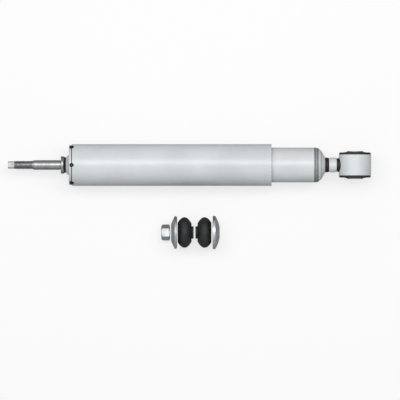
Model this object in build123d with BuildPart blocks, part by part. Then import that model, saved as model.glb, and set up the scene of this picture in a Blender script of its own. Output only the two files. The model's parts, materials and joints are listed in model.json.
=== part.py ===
from build123d import *
import math
import os

# Two-tube shock absorber with a threaded stud on its rod and a rubber-bushed eye on its tube,
# and beside it the loose nut, dished washers and rubber bushes that go on the stud.
# All sizes are millimetres. The origin is the centre of the eye. The stud points to -X, the bolt
# through the eye runs along Y, and everything lies on one floor with +Z up.
# A station is a distance from the eye towards the stud, so station 100 lies at X = -100.

os.makedirs("parts", exist_ok=True)

# Fits
running_gap = 0.05  # radial gap of a shaft that turns or slides in its hole
plate_gap = 0.15  # radial gap of a loose plate on its sleeve
seat_gap = 0.1  # gap between a loose plate and the flat seat it rests on
coil_gap = 0.1  # gap between a spring's end and what it presses on
edge_break = 0.4  # chamfer on cut steel edges

# Eye
eye_bore_d = 12.2
sleeve_d = 18.5
sleeve_length = 32.0
ring_d = 37.0
ring_wall = 3.2
ring_width = 24.2
bush_flange = 2.4  # rubber past the ring's face, at its edge
bush_crown = 3.0  # rubber past the ring's face, at the sleeve
bush_inset = 0.3  # rubber flange stays this far inside the ring's outside
bush_edge_round = 2.3

# Neck between eye and tube, with its two welds
eye_weld_length = 2.8
neck_length = 8.5
neck_weld_length = 4.5
neck_end_d = 15.5
neck_belly_d = 17.1
weld_root_d = 9.0
eye_weld_toe = 0.6  # how far the weld spreads past the neck on the ring
neck_weld_crown = 0.7

# Reservoir tube and its bottom cup
reservoir_d = 40.0
reservoir_wall = 1.5
cup_base_d = 17.4
cup_cone_d = 32.6
cup_cone_height = 4.6
cup_shoulder_height = 3.1
cup_shoulder_step = 0.9
cup_floor = 3.0
cup_ledge_wall = 2.3
cup_well_d = 18.0
cup_well_top_d = 24.0
cup_skirt_wall = 2.5
cup_skirt_length = 8.0
seam_length = 4.9
seam_beads = 4
seam_crown = 0.25
lip_radius = 2.5
lip_bore_d = 27.0

# Pressure tube
pressure_bore_d = 27.0
pressure_wall = 1.5

# Foot valve
foot_height = 5.0
foot_wall = 2.1
foot_inset = 1.0  # feet stand this far outside the pressure tube's bore
foot_slot_width = 6.0
foot_slot_height = 3.0
foot_flange_thickness = 3.0
foot_spigot_length = 5.0
foot_spigot_gap = 0.05
pin_d = 5.0
pin_head_d = 8.4
pin_head_height = 2.2
pin_rivet_d = 7.2
pin_rivet_height = 1.2
foot_sleeve_wall = 1.1
compression_port_d = 2.0
compression_ports = 4
intake_port_d = 2.4
intake_ports = 8
port_land = 0.8
compression_disc_thickness = 0.6
disc_washer_d = 10.4
disc_washer_thickness = 1.0
check_plate_thickness = 0.8
check_lift = 1.2
foot_stop_d = 16.0
stop_plate_thickness = 1.0
check_wire_d = 0.7
foot_coil_turns = 2
foot_spring_room = 2.4

# Piston and its valves
foot_clearance = 5.5  # free length between foot valve and piston nut when closed
spigot_d = 8.0
spigot_end = 1.5
nut_hex = 13.0
nut_hex_height = 5.0
nut_flange_d = 19.0
nut_flange_thickness = 1.6
nut_sleeve_wall = 1.2
rebound_spring_room = 6.2
rebound_wire_d = 1.4
rebound_coil_turns = 2.5
rebound_seat_step = 0.35  # spring seat smaller than the disc, on the radius
rebound_seat_thickness = 1.3
rebound_disc_thickness = 0.8
piston_length = 12.0
piston_gap = 0.2
band_width = 5.8
band_thickness = 1.3
band_seat_gap = 0.15
rebound_port_d = 2.2
rebound_ports = 6
piston_check_port_d = 2.0
piston_check_ports = 8
groove_land = 0.75
plate_lugs = 3
plate_lug_width = 2.6
piston_spring_room = 1.9
piston_coil_turns = 1

# Rod
rod_d = 11.0
stop_height = 3.5  # shoulder to rebound stop
rebound_stop_d = 18.0
rebound_stop_thickness = 2.5
rebound_groove_depth = 0.5
cushion_d = 21.0
cushion_length = 6.0
stroke = 178.0
stroke_spare = 0.5  # left between cushion and guide when fully pulled out

# Rod guide and seal
guide_spigot_length = 8.0
guide_flange_length = 13.5
guide_fit_gap = 0.05
guide_bush_wall = 1.5
guide_bush_length = 13.0
guide_bush_inset = 1.0
seal_recess_d = 23.0
seal_recess_depth = 6.5
seal_heel = 3.0
seal_floor_gap = 0.3
seal_lip_wall = 1.45
seal_outer_wall = 1.7
seal_wire_d = 1.4
o_ring_d = 2.2
o_ring_groove_spare = 0.4
drain_d = 2.0
drains = 3
closing_washer_thickness = 2.0
closing_washer_bore_gap = 1.5

# Dust cover, collar and stud
cap_clearance = 14.2  # from the tube's rolled end to the cap when closed
cap_wall = 2.0
cap_dome_height = 3.6
cap_dome_d = 23.0
cap_neck_d = 16.6
cap_rim_step = 1.0
cap_rim_width = 1.8
cap_corner = 1.6
cap_skirt_length = 7.8
cover_d = 48.0
cover_wall = 1.2
cover_mouth = 96.1  # station of the cover's open end when closed
weld_spots = 6
weld_spot_d = 4.8
weld_spot_proud = 0.4
collar_weld_length = 1.8
collar_weld_d = 18.4
collar_d = 20.0
collar_length = 3.9
collar_corner = 1.2
shank_length = 31.6
undercut_width = 1.0
undercut_depth = 0.3
thread_d = 10.0
thread_length = 22.1
thread_lead = 0.9
thread_runout = 0.5
tip_d = 8.2
tip_length = 7.3
tip_flats = 5.6
tip_chamfer = 0.6

# Loose fitting parts of the stud, laid out beside the absorber in their order on the stud
kit_offset = 77.7  # from the absorber's axis to the row's axis
kit_start = 155.3  # station of the first washer
stud_gap = 0.1  # radial gap of washers and bushes on the shank
dish_d = 38.4
dish_thickness = 2.8
dish_depth = 8.3
cone_dish_depth = 7.0
cone_dish_flat_d = 20.0
first_gap = 1.7
bush_gap = 2.0
dish_gap = 0.6
nut_gap = 1.3
stud_bush_length = 18.4
stud_bush_d = 35.4
stud_bush_face_d = 22.6
stud_bush_shoulder_d = 20.8
stud_bush_crown = 2.8
stud_bush_side = 7.8  # crown's middle to the flat face
stud_bush_spigot_d = 14.2
stud_bush_spigot_length = 2.4
lock_nut_flats = 16.0
lock_nut_height = 10.0
lock_nut_thread = 9.0
lock_nut_face_d = 15.2
lock_nut_face_chamfer = 1.0
lock_nut_dome = 3.3
lock_nut_end_d = 13.8
insert_bore_d = 9.4
insert_d = 12.8
insert_height = 2.3
insert_lip_d = 11.2
insert_lip = 0.4

# Radii worked out from the sizes above
sleeve_r = sleeve_d / 2
ring_r = ring_d / 2
ring_bore_r = ring_r - ring_wall
neck_end_r = neck_end_d / 2
weld_root_r = weld_root_d / 2
reservoir_r = reservoir_d / 2
reservoir_bore_r = reservoir_r - reservoir_wall
bore_r = pressure_bore_d / 2
pressure_r = bore_r + pressure_wall
pin_r = pin_d / 2
foot_sleeve_r = pin_r + foot_sleeve_wall
spigot_r = spigot_d / 2
nut_sleeve_r = spigot_r + nut_sleeve_wall
rod_r = rod_d / 2
cover_r = cover_d / 2
cover_bore_r = cover_r - cover_wall
cap_rim_r = cover_r - cap_rim_step
thread_r = thread_d / 2
tip_r = tip_d / 2

# Stations, from the eye to the stud's tip
neck_start = ring_r + eye_weld_length
neck_end = neck_start + neck_length
cup_start = neck_end + neck_weld_length
cup_cone_end = cup_start + cup_cone_height
seam_start = cup_cone_end + cup_shoulder_height
tube_start = seam_start + seam_length
foot_start = cup_cone_end + cup_ledge_wall
foot_flange_start = foot_start + foot_height
pressure_start = foot_flange_start + foot_flange_thickness
foot_seat = pressure_start + foot_spigot_length
foot_plate_top = foot_seat + seat_gap + check_plate_thickness
foot_stop_start = foot_plate_top + foot_spring_room
foot_stop_end = foot_stop_start + stop_plate_thickness
foot_top = foot_stop_end + pin_rivet_height
spigot_start = foot_top + foot_clearance
nut_start = spigot_start + spigot_end
nut_flange_start = nut_start + nut_hex_height
nut_flange_end = nut_flange_start + nut_flange_thickness
rebound_seat_start = nut_flange_end + rebound_spring_room
rebound_disc_start = rebound_seat_start + rebound_seat_thickness
piston_start = rebound_disc_start + rebound_disc_thickness + seat_gap
piston_end = piston_start + piston_length
piston_plate_top = piston_end + seat_gap + check_plate_thickness
piston_stop_start = piston_plate_top + piston_spring_room
shoulder = piston_stop_start + stop_plate_thickness
rebound_stop_start = shoulder + stop_height
cushion_start = rebound_stop_start + rebound_stop_thickness
guide_start = cushion_start + cushion_length + stroke + stroke_spare
guide_shoulder = guide_start + guide_spigot_length
guide_end = guide_shoulder + guide_flange_length
lip_start = guide_end + closing_washer_thickness
tube_end = lip_start + reservoir_wall
cap_inside = tube_end + cap_clearance
cap_face = cap_inside + cap_wall
cap_top = cap_face + cap_dome_height
collar_start = cap_top + collar_weld_length
collar_face = collar_start + collar_length
shank_end = collar_face + shank_length
thread_end = shank_end + thread_length
tip_end = thread_end + tip_length
cover_end = cap_face - cap_corner - cap_rim_width

floor_z = -(cover_r + weld_spot_proud)

# Sections of turned pieces are drawn here: first number a station, second a radius.
bench = Plane(origin=(0, 0, 0), x_dir=(-1, 0, 0), z_dir=(0, 0, -1))


def across(station):
    # Plane square to the axis at a station, facing the stud.
    return Plane(origin=(-station, 0, 0), x_dir=(0, 1, 0), z_dir=(-1, 0, 0))


def ring_section(start, end, inner_radius, outer_radius):
    # Rectangle in the open sketch: the section of a ring between two stations.
    with Locations(((start + end) / 2, (inner_radius + outer_radius) / 2)):
        Rectangle(end - start, outer_radius - inner_radius)


def save(piece, name):
    piece.part.label = name
    export_step(piece.part, f"parts/{name}.step")


# Inner sleeve of the eye
with BuildPart() as eye_sleeve:
    with BuildSketch(Plane.XZ):
        Circle(sleeve_r)
        Circle(eye_bore_d / 2, mode=Mode.SUBTRACT)
    extrude(amount=sleeve_length / 2, both=True)
    chamfer(eye_sleeve.edges().filter_by(GeomType.CIRCLE), edge_break)
save(eye_sleeve, "eye_sleeve")

# Rubber bush of the eye, its flanges rounded off at the ring's edge
ring_half = ring_width / 2
flange_r = ring_r - bush_inset
with BuildPart() as eye_bush:
    with BuildSketch(Plane.XY):
        with BuildLine():
            Polyline(
                (sleeve_r + running_gap, 0),
                (sleeve_r + running_gap, ring_half + bush_crown),
                (flange_r - bush_flange, ring_half + bush_flange),
                (flange_r, ring_half + bush_flange),
                (flange_r, ring_half),
                (ring_bore_r, ring_half),
                (ring_bore_r, 0),
                close=True,
            )
        make_face()
        fillet(vertices().group_by(Axis.X)[-1].sort_by(Axis.Y)[-1], bush_edge_round)
        mirror(about=Plane.XZ)
    revolve(axis=Axis.Y)
save(eye_bush, "eye_bush")

# Steel ring of the eye
with BuildPart() as eye_ring:
    with BuildSketch(Plane.XZ):
        Circle(ring_r)
        Circle(ring_bore_r, mode=Mode.SUBTRACT)
    extrude(amount=ring_half, both=True)
    chamfer(eye_ring.edges().filter_by(GeomType.CIRCLE), edge_break)
save(eye_ring, "eye_ring")

# Barrel neck, bevelled to its root at both ends and cut to the ring
with BuildPart() as eye_neck:
    with BuildSketch(bench):
        with BuildLine():
            Polyline(
                (neck_start, neck_end_r),
                (ring_r, weld_root_r),
                (ring_bore_r, weld_root_r),
                (ring_bore_r, 0),
                (cup_start, 0),
                (cup_start, weld_root_r),
                (neck_end, neck_end_r),
            )
            ThreePointArc(
                (neck_end, neck_end_r),
                ((neck_start + neck_end) / 2, neck_belly_d / 2),
                (neck_start, neck_end_r),
            )
        make_face()
    revolve(axis=Axis.X)
    with BuildSketch(Plane.XZ):
        Circle(ring_r)
    extrude(amount=ring_r, both=True, mode=Mode.SUBTRACT)
save(eye_neck, "eye_neck")

# Weld of neck and ring: it fills the bevel and spreads over the ring
with BuildPart() as eye_weld:
    with BuildSketch(bench):
        with BuildLine():
            Polyline(
                (ring_r, neck_end_r + eye_weld_toe),
                (ring_bore_r, neck_end_r + 2 * eye_weld_toe),
                (ring_bore_r, weld_root_r),
                (ring_r, weld_root_r),
                (neck_start, neck_end_r),
            )
            ThreePointArc(
                (neck_start, neck_end_r),
                ((neck_start + ring_r) / 2, neck_end_r - edge_break / 2),
                (ring_r, neck_end_r + eye_weld_toe),
            )
        make_face()
    revolve(axis=Axis.X)
    with BuildSketch(Plane.XZ):
        Circle(ring_r)
    extrude(amount=ring_r, both=True, mode=Mode.SUBTRACT)
save(eye_weld, "eye_weld")

# Weld of neck and cup
with BuildPart() as neck_weld:
    with BuildSketch(bench):
        with BuildLine():
            Polyline(
                (cup_start, neck_end_r + neck_weld_crown),
                (cup_start, weld_root_r),
                (neck_end, neck_end_r),
            )
            ThreePointArc(
                (neck_end, neck_end_r),
                ((neck_end + cup_start) / 2, neck_end_r + neck_weld_crown),
                (cup_start, neck_end_r + neck_weld_crown),
            )
        make_face()
    revolve(axis=Axis.X)
save(neck_weld, "neck_weld")

# Bottom cup: cone outside, ledge for the foot valve inside, skirt pressed into the tube
skirt_end = tube_start + cup_skirt_length
with BuildPart() as base_cup:
    with BuildSketch(bench):
        with BuildLine():
            shoulder_r = reservoir_r - cup_shoulder_step
            Polyline(
                (seam_start, shoulder_r),
                (seam_start, reservoir_bore_r),
                (skirt_end, reservoir_bore_r),
                (skirt_end, reservoir_bore_r - cup_skirt_wall),
                (foot_start, reservoir_bore_r - cup_skirt_wall),
                (foot_start, cup_well_top_d / 2),
                (cup_start + cup_floor, cup_well_d / 2),
                (cup_start + cup_floor, 0),
                (cup_start, 0),
                (cup_start, cup_base_d / 2),
                (cup_cone_end, cup_cone_d / 2),
            )
            TangentArc(
                (cup_cone_end, cup_cone_d / 2),
                (seam_start, shoulder_r),
                tangent=(cup_cone_height, (cup_cone_d - cup_base_d) / 2),
            )
        make_face()
    revolve(axis=Axis.X)
save(base_cup, "base_cup")

# Seam weld of cup and tube: narrow beads side by side
with BuildPart() as base_seam_weld:
    with BuildSketch(bench):
        with BuildLine():
            bead = seam_length / seam_beads
            rise = cup_shoulder_step / seam_beads
            for i in range(seam_beads):
                low = (seam_start + i * bead, shoulder_r + i * rise)
                high = (seam_start + (i + 1) * bead, shoulder_r + (i + 1) * rise)
                crest = ((low[0] + high[0]) / 2, (low[1] + high[1]) / 2 + seam_crown)
                ThreePointArc(low, crest, high)
            Polyline(
                (tube_start, reservoir_r),
                (tube_start, reservoir_bore_r),
                (seam_start, reservoir_bore_r),
                (seam_start, shoulder_r),
            )
        make_face()
    revolve(axis=Axis.X)
save(base_seam_weld, "base_seam_weld")

# Reservoir tube, its far end rolled in over the closing washer
with BuildPart() as reservoir_tube:
    with BuildSketch(bench):
        with BuildLine():
            Polyline(
                (tube_start, reservoir_bore_r),
                (tube_start, reservoir_r),
                (tube_end, reservoir_r),
                (tube_end, lip_bore_d / 2),
                (lip_start, lip_bore_d / 2),
                (lip_start, reservoir_bore_r),
                close=True,
            )
        make_face()
    revolve(axis=Axis.X)
    rolled_edge = reservoir_tube.edges().filter_by(GeomType.CIRCLE).group_by(Axis.X)[0]
    fillet(rolled_edge.sort_by(SortBy.RADIUS)[-1], lip_radius)
save(reservoir_tube, "reservoir_tube")

# Pressure tube
with BuildPart() as pressure_tube:
    with BuildSketch(across(pressure_start)):
        Circle(pressure_r)
        Circle(bore_r, mode=Mode.SUBTRACT)
    extrude(amount=guide_shoulder - pressure_start)
save(pressure_tube, "pressure_tube")

# Foot valve body: slotted feet on the cup's ledge, flange under the pressure tube, spigot inside it
foot_spigot_r = bore_r - foot_spigot_gap
foot_bore_r = foot_spigot_r - foot_wall + foot_inset
compression_circle = foot_sleeve_r + port_land + compression_port_d / 2
intake_circle = foot_bore_r - port_land - intake_port_d / 2
with BuildPart() as foot_valve_body:
    with BuildSketch(bench):
        ring_section(foot_start, foot_flange_start, foot_bore_r, foot_bore_r + foot_wall)
        ring_section(foot_flange_start, pressure_start, pin_r, pressure_r)
        ring_section(pressure_start, foot_seat, pin_r, foot_spigot_r)
    revolve(axis=Axis.X)
    with BuildSketch(across(foot_start)):
        with PolarLocations(0, 2, angular_range=180):
            Rectangle(2 * reservoir_r, foot_slot_width)
    extrude(amount=foot_slot_height, mode=Mode.SUBTRACT)
    with BuildSketch(across(foot_flange_start)):
        with PolarLocations(intake_circle, intake_ports):
            Circle(intake_port_d / 2)
        with PolarLocations(compression_circle, compression_ports):
            Circle(compression_port_d / 2)
    extrude(amount=foot_seat - foot_flange_start, mode=Mode.SUBTRACT)
save(foot_valve_body, "foot_valve_body")

# Disc that covers the compression ports from below, and its washer
compression_disc_r = compression_circle + compression_port_d / 2 + port_land
disc_start = foot_flange_start - compression_disc_thickness
washer_start = disc_start - disc_washer_thickness
with BuildPart() as foot_compression_disc:
    with BuildSketch(across(disc_start)):
        Circle(compression_disc_r)
        Circle(pin_r, mode=Mode.SUBTRACT)
    extrude(amount=compression_disc_thickness)
save(foot_compression_disc, "foot_compression_disc")

with BuildPart() as foot_disc_washer:
    with BuildSketch(across(washer_start)):
        Circle(disc_washer_d / 2)
        Circle(pin_r, mode=Mode.SUBTRACT)
    extrude(amount=disc_washer_thickness)
save(foot_disc_washer, "foot_disc_washer")

# Rivet that holds the foot valve together
with BuildPart() as foot_valve_pin:
    with BuildSketch(bench):
        ring_section(washer_start - pin_head_height, washer_start, 0, pin_head_d / 2)
        ring_section(washer_start, foot_stop_end, 0, pin_r)
        ring_section(foot_stop_end, foot_top, 0, pin_rivet_d / 2)
    revolve(axis=Axis.X)
    ends = foot_valve_pin.edges().filter_by(GeomType.CIRCLE).group_by(Axis.X)
    fillet(ends[0] + ends[-1], edge_break)
save(foot_valve_pin, "foot_valve_pin")

# Top hat that guides the foot check plate and stops its lift
with BuildPart() as foot_check_stop:
    with BuildSketch(bench):
        ring_section(foot_seat, foot_stop_start, pin_r, foot_sleeve_r)
        ring_section(foot_stop_start, foot_stop_end, pin_r, foot_stop_d / 2)
    revolve(axis=Axis.X)
save(foot_check_stop, "foot_check_stop")

# Check plate over the intake ports, with windows that leave the compression ports open
foot_plate_start = foot_seat + seat_gap
with BuildPart() as foot_check_plate:
    with BuildSketch(across(foot_plate_start)):
        Circle(intake_circle + intake_port_d / 2 + port_land)
        Circle(foot_sleeve_r + plate_gap, mode=Mode.SUBTRACT)
        with PolarLocations(compression_circle + plate_gap, compression_ports):
            Circle(compression_port_d / 2, mode=Mode.SUBTRACT)
    extrude(amount=check_plate_thickness)
save(foot_check_plate, "foot_check_plate")


def coil(start, end, mean_radius, wire_d, turns):
    # Coil of round wire around the axis, between two stations.
    rise = end - start - wire_d
    with BuildPart() as spring:
        with BuildLine() as wire:
            first = (-start - wire_d / 2, 0, 0)
            Helix(rise / turns, rise, mean_radius, center=first, direction=(-1, 0, 0))
        with BuildSketch(Plane(origin=wire.line @ 0, z_dir=wire.line % 0)):
            Circle(wire_d / 2)
        sweep()
    return spring


foot_coil_r = (foot_sleeve_r + foot_stop_d / 2) / 2
foot_check_spring = coil(
    foot_plate_top + coil_gap, foot_stop_start - coil_gap, foot_coil_r, check_wire_d, foot_coil_turns
)
save(foot_check_spring, "foot_check_spring")

# Piston nut: hexagon, flange under the rebound spring, sleeve up to the piston
with BuildPart() as piston_nut:
    with BuildSketch(across(nut_start)):
        RegularPolygon(nut_hex / 2, 6, major_radius=False)
    extrude(amount=nut_hex_height)
    with BuildSketch(across(nut_flange_start)):
        Circle(nut_flange_d / 2)
    extrude(amount=nut_flange_thickness)
    with BuildSketch(across(nut_flange_end)):
        Circle(nut_sleeve_r)
    extrude(amount=piston_start - nut_flange_end)
    with BuildSketch(across(nut_start)):
        Circle(spigot_r)
    extrude(amount=piston_start - nut_start, mode=Mode.SUBTRACT)
save(piston_nut, "piston_nut")

# Rebound valve under the piston: disc, spring seat and spring
rebound_circle = nut_sleeve_r + plate_gap + port_land + rebound_port_d / 2
rebound_disc_r = rebound_circle + rebound_port_d / 2 + port_land
rebound_bore_r = nut_sleeve_r + plate_gap
rebound_seat_r = rebound_disc_r - rebound_seat_step
with BuildPart() as rebound_disc:
    with BuildSketch(across(rebound_disc_start)):
        Circle(rebound_disc_r)
        Circle(rebound_bore_r, mode=Mode.SUBTRACT)
    extrude(amount=rebound_disc_thickness)
save(rebound_disc, "rebound_disc")

with BuildPart() as rebound_spring_seat:
    with BuildSketch(across(rebound_seat_start)):
        Circle(rebound_seat_r)
        Circle(rebound_bore_r, mode=Mode.SUBTRACT)
    extrude(amount=rebound_seat_thickness)
save(rebound_spring_seat, "rebound_spring_seat")

rebound_coil_r = (nut_sleeve_r + rebound_seat_r) / 2
rebound_coil_start = nut_flange_end + coil_gap
rebound_coil_end = rebound_seat_start - coil_gap
rebound_spring = coil(
    rebound_coil_start, rebound_coil_end, rebound_coil_r, rebound_wire_d, rebound_coil_turns
)
save(rebound_spring, "rebound_spring")

# Piston with a groove for its band and two circles of ports
piston_r = bore_r - piston_gap
groove_r = bore_r - running_gap - band_thickness - band_seat_gap
groove_start = (piston_start + piston_end - band_width) / 2 - seat_gap
groove_end = groove_start + band_width + 2 * seat_gap
piston_check_circle = groove_r - groove_land - piston_check_port_d / 2
with BuildPart() as piston:
    with BuildSketch(bench):
        ring_section(piston_start, groove_start, spigot_r, piston_r)
        ring_section(groove_start, groove_end, spigot_r, groove_r)
        ring_section(groove_end, piston_end, spigot_r, piston_r)
    revolve(axis=Axis.X)
    with BuildSketch(across(piston_start)):
        with PolarLocations(rebound_circle, rebound_ports):
            Circle(rebound_port_d / 2)
        with PolarLocations(piston_check_circle, piston_check_ports):
            Circle(piston_check_port_d / 2)
    extrude(amount=piston_length, mode=Mode.SUBTRACT)
save(piston, "piston")

# Sliding band in the piston's groove
with BuildPart() as piston_band:
    with BuildSketch(across(groove_start + seat_gap)):
        Circle(bore_r - running_gap)
        Circle(groove_r + band_seat_gap, mode=Mode.SUBTRACT)
    extrude(amount=band_width)
save(piston_band, "piston_band")

# Top hat above the piston: guides the check plate and stops its lift
stop_sleeve_r = nut_sleeve_r
piston_plate_r = piston_check_circle + piston_check_port_d / 2 + port_land
with BuildPart() as piston_check_stop:
    with BuildSketch(bench):
        ring_section(piston_end, piston_stop_start, spigot_r, stop_sleeve_r)
        ring_section(piston_stop_start, shoulder, spigot_r, piston_plate_r)
    revolve(axis=Axis.X)
save(piston_check_stop, "piston_check_stop")

# Check plate over the outer ports: a ring with lugs that ride on the sleeve
piston_plate_bore = piston_check_circle - piston_check_port_d / 2 - port_land
with BuildPart() as piston_check_plate:
    with BuildSketch(across(piston_end + seat_gap)):
        Circle(piston_plate_r)
        Circle(piston_plate_bore, mode=Mode.SUBTRACT)
        lug_centre = (piston_plate_bore + stop_sleeve_r + plate_gap) / 2
        lug_length = piston_plate_bore - stop_sleeve_r
        with PolarLocations(lug_centre, plate_lugs, start_angle=180 / rebound_ports):
            Rectangle(lug_length, plate_lug_width)
        Circle(stop_sleeve_r + plate_gap, mode=Mode.SUBTRACT)
    extrude(amount=check_plate_thickness)
save(piston_check_plate, "piston_check_plate")

piston_coil_start = piston_plate_top + coil_gap
piston_coil_end = piston_stop_start - coil_gap
piston_check_spring = coil(
    piston_coil_start, piston_coil_end, piston_check_circle, check_wire_d, piston_coil_turns
)
save(piston_check_spring, "piston_check_spring")

# Rod and stud, turned from one bar
with BuildPart() as piston_rod:
    with BuildSketch(bench):
        with BuildLine():
            Polyline(
                (spigot_start, 0),
                (spigot_start, spigot_r - edge_break),
                (spigot_start + edge_break, spigot_r),
                (shoulder, spigot_r),
                (shoulder, rod_r),
                (rebound_stop_start, rod_r),
                (rebound_stop_start, rod_r - rebound_groove_depth),
                (cushion_start, rod_r - rebound_groove_depth),
                (cushion_start, rod_r),
                (collar_face, rod_r),
                (collar_face, rod_r - undercut_depth),
                (collar_face + undercut_width, rod_r - undercut_depth),
                (collar_face + undercut_width, rod_r),
                (shank_end - thread_runout, rod_r),
                (shank_end, thread_r),
                (thread_end - thread_lead, thread_r),
                (thread_end, tip_r),
                (tip_end - tip_chamfer, tip_r),
                (tip_end, tip_r - tip_chamfer),
                (tip_end, 0),
                close=True,
            )
        make_face()
    revolve(axis=Axis.X)
    with BuildSketch(across(thread_end)):
        with Locations((0, tip_flats), (0, -tip_flats)):
            Rectangle(tip_d, tip_flats)
    extrude(amount=tip_length, mode=Mode.SUBTRACT)
save(piston_rod, "piston_rod")

# Rebound stop in the rod's groove, and the cushion that meets the guide
with BuildPart() as rebound_stop:
    with BuildSketch(across(rebound_stop_start)):
        Circle(rebound_stop_d / 2)
        Circle(rod_r - rebound_groove_depth, mode=Mode.SUBTRACT)
    extrude(amount=rebound_stop_thickness)
save(rebound_stop, "rebound_stop")

with BuildPart() as rebound_cushion:
    with BuildSketch(across(cushion_start)):
        Circle(cushion_d / 2)
        Circle(rod_r, mode=Mode.SUBTRACT)
    extrude(amount=cushion_length)
    outer_rims = rebound_cushion.edges().filter_by(GeomType.CIRCLE).group_by(SortBy.RADIUS)[-1]
    fillet(outer_rims, edge_break)
save(rebound_cushion, "rebound_cushion")

# Rod guide: spigot in the pressure tube, flange in the reservoir tube, recess for the seal
guide_bore_r = rod_r + running_gap + guide_bush_wall
guide_flange_r = reservoir_bore_r - guide_fit_gap
seal_floor = guide_end - seal_recess_depth
o_ring_station = (guide_shoulder + guide_end) / 2
o_ring_seat_r = reservoir_bore_r - o_ring_d
groove_half = (o_ring_d + o_ring_groove_spare) / 2
drain_inner = (seal_recess_d / 2 + guide_bore_r + drain_d / 2) / 2
drain_outer = (pressure_r + guide_flange_r) / 2
with BuildPart() as rod_guide:
    with BuildSketch(bench):
        ring_section(guide_start, guide_shoulder, guide_bore_r, bore_r - guide_fit_gap)
        ring_section(guide_shoulder, seal_floor, guide_bore_r, guide_flange_r)
        ring_section(seal_floor, guide_end, seal_recess_d / 2, guide_flange_r)
        with Locations((o_ring_station, guide_flange_r)):
            Rectangle(2 * groove_half, 2 * (guide_flange_r - o_ring_seat_r), mode=Mode.SUBTRACT)
    revolve(axis=Axis.X)
    for i in range(drains):
        turn = Location((0, 0, 0), (360 / drains * i, 0, 0))
        inner = (turn * Location((-seal_floor, drain_inner, 0))).position
        outer = (turn * Location((-guide_shoulder, drain_outer, 0))).position
        slope = (outer - inner).normalized()
        with BuildSketch(Plane(origin=inner - slope * drain_d, z_dir=slope)):
            Circle(drain_d / 2)
        extrude(amount=(outer - inner).length + 2 * drain_d, mode=Mode.SUBTRACT)
save(rod_guide, "rod_guide")

# Plain bearing bush in the guide
with BuildPart() as guide_bush:
    with BuildSketch(across(guide_start + guide_bush_inset)):
        Circle(guide_bore_r)
        Circle(rod_r + running_gap, mode=Mode.SUBTRACT)
    extrude(amount=guide_bush_length)
save(guide_bush, "guide_bush")

# O-ring in the guide's groove
with BuildPart() as guide_o_ring:
    with BuildSketch(bench):
        with Locations((o_ring_station, reservoir_bore_r - o_ring_d / 2)):
            Circle(o_ring_d / 2)
    revolve(axis=Axis.X)
save(guide_o_ring, "guide_o_ring")

# Rod seal: solid heel against the washer, open side with two lips towards the oil
seal_bore_r = rod_r + running_gap
seal_lip_r = seal_bore_r + seal_lip_wall
heel_start = guide_end - seal_heel
with BuildPart() as rod_seal:
    with BuildSketch(bench):
        ring_section(heel_start, guide_end, seal_bore_r, seal_recess_d / 2)
        ring_section(seal_floor + seal_floor_gap, heel_start, seal_bore_r, seal_lip_r)
        ring_section(
            seal_floor + seal_floor_gap,
            heel_start,
            seal_recess_d / 2 - seal_outer_wall,
            seal_recess_d / 2,
        )
    revolve(axis=Axis.X)
save(rod_seal, "rod_seal")

# Garter spring around the seal's inner lip
with BuildPart() as seal_spring:
    with BuildSketch(bench):
        with Locations(((seal_floor + heel_start) / 2, seal_lip_r + seal_wire_d / 2)):
            Circle(seal_wire_d / 2)
    revolve(axis=Axis.X)
save(seal_spring, "seal_spring")

# Washer that closes the tube under its rolled lip
with BuildPart() as closing_washer:
    with BuildSketch(across(guide_end)):
        Circle(guide_flange_r)
        Circle(rod_r + closing_washer_bore_gap, mode=Mode.SUBTRACT)
    extrude(amount=closing_washer_thickness)
save(closing_washer, "closing_washer")

# Pressed cap of the dust cover: domed neck at the rod, flat shoulder, rim on the tube, skirt inside it
with BuildPart() as dust_cover_cap:
    with BuildSketch(bench):
        with BuildLine():
            skirt_r = cover_bore_r
            rim_start = cover_end + cap_rim_width
            Polyline(
                (cap_face, cap_dome_d / 2),
                (cap_face, cap_rim_r - cap_corner),
            )
            TangentArc(
                (cap_face, cap_rim_r - cap_corner),
                (rim_start, cap_rim_r),
                tangent=(0, 1),
            )
            Polyline(
                (rim_start, cap_rim_r),
                (cover_end, cap_rim_r),
                (cover_end, skirt_r),
                (cap_inside - cap_skirt_length, skirt_r),
                (cap_inside - cap_skirt_length, skirt_r - cap_wall),
                (cap_inside, skirt_r - cap_wall),
                (cap_inside, cap_dome_d / 2 - cap_wall / 2),
                (cap_top - cap_wall, cap_neck_d / 2 - cap_wall / 2),
                (cap_top - cap_wall, rod_r),
                (cap_top, rod_r),
                (cap_top, cap_neck_d / 2),
            )
            TangentArc(
                (cap_face, cap_dome_d / 2),
                (cap_top, cap_neck_d / 2),
                tangent=(1, -0.2),
            )
        make_face()
    revolve(axis=Axis.X)
save(dust_cover_cap, "dust_cover_cap")

# Dust cover tube
with BuildPart() as dust_cover_tube:
    with BuildSketch(across(cover_mouth)):
        Circle(cover_r)
        Circle(cover_bore_r, mode=Mode.SUBTRACT)
    extrude(amount=cover_end - cover_mouth)
    mouth_edges = dust_cover_tube.edges().filter_by(GeomType.CIRCLE).group_by(Axis.X)[-1]
    chamfer(mouth_edges, edge_break / 2)
save(dust_cover_tube, "dust_cover_tube")

# Weld spots in the corner of cap rim and tube, standing slightly proud; the absorber lies on one of them
spot_r = weld_spot_d / 2
spot_circle = cover_r + weld_spot_proud - spot_r
with BuildPart() as cover_weld_spots:
    with Locations(across(cover_end)):
        with PolarLocations(spot_circle, weld_spots, start_angle=90):
            Sphere(spot_r)
    with BuildSketch(across(cover_end - spot_r)):
        Circle(skirt_r)
    extrude(amount=2 * spot_r, mode=Mode.SUBTRACT)
    add(dust_cover_cap.part, mode=Mode.SUBTRACT)
    add(dust_cover_tube.part, mode=Mode.SUBTRACT)
save(cover_weld_spots, "cover_weld_spots")

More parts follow.
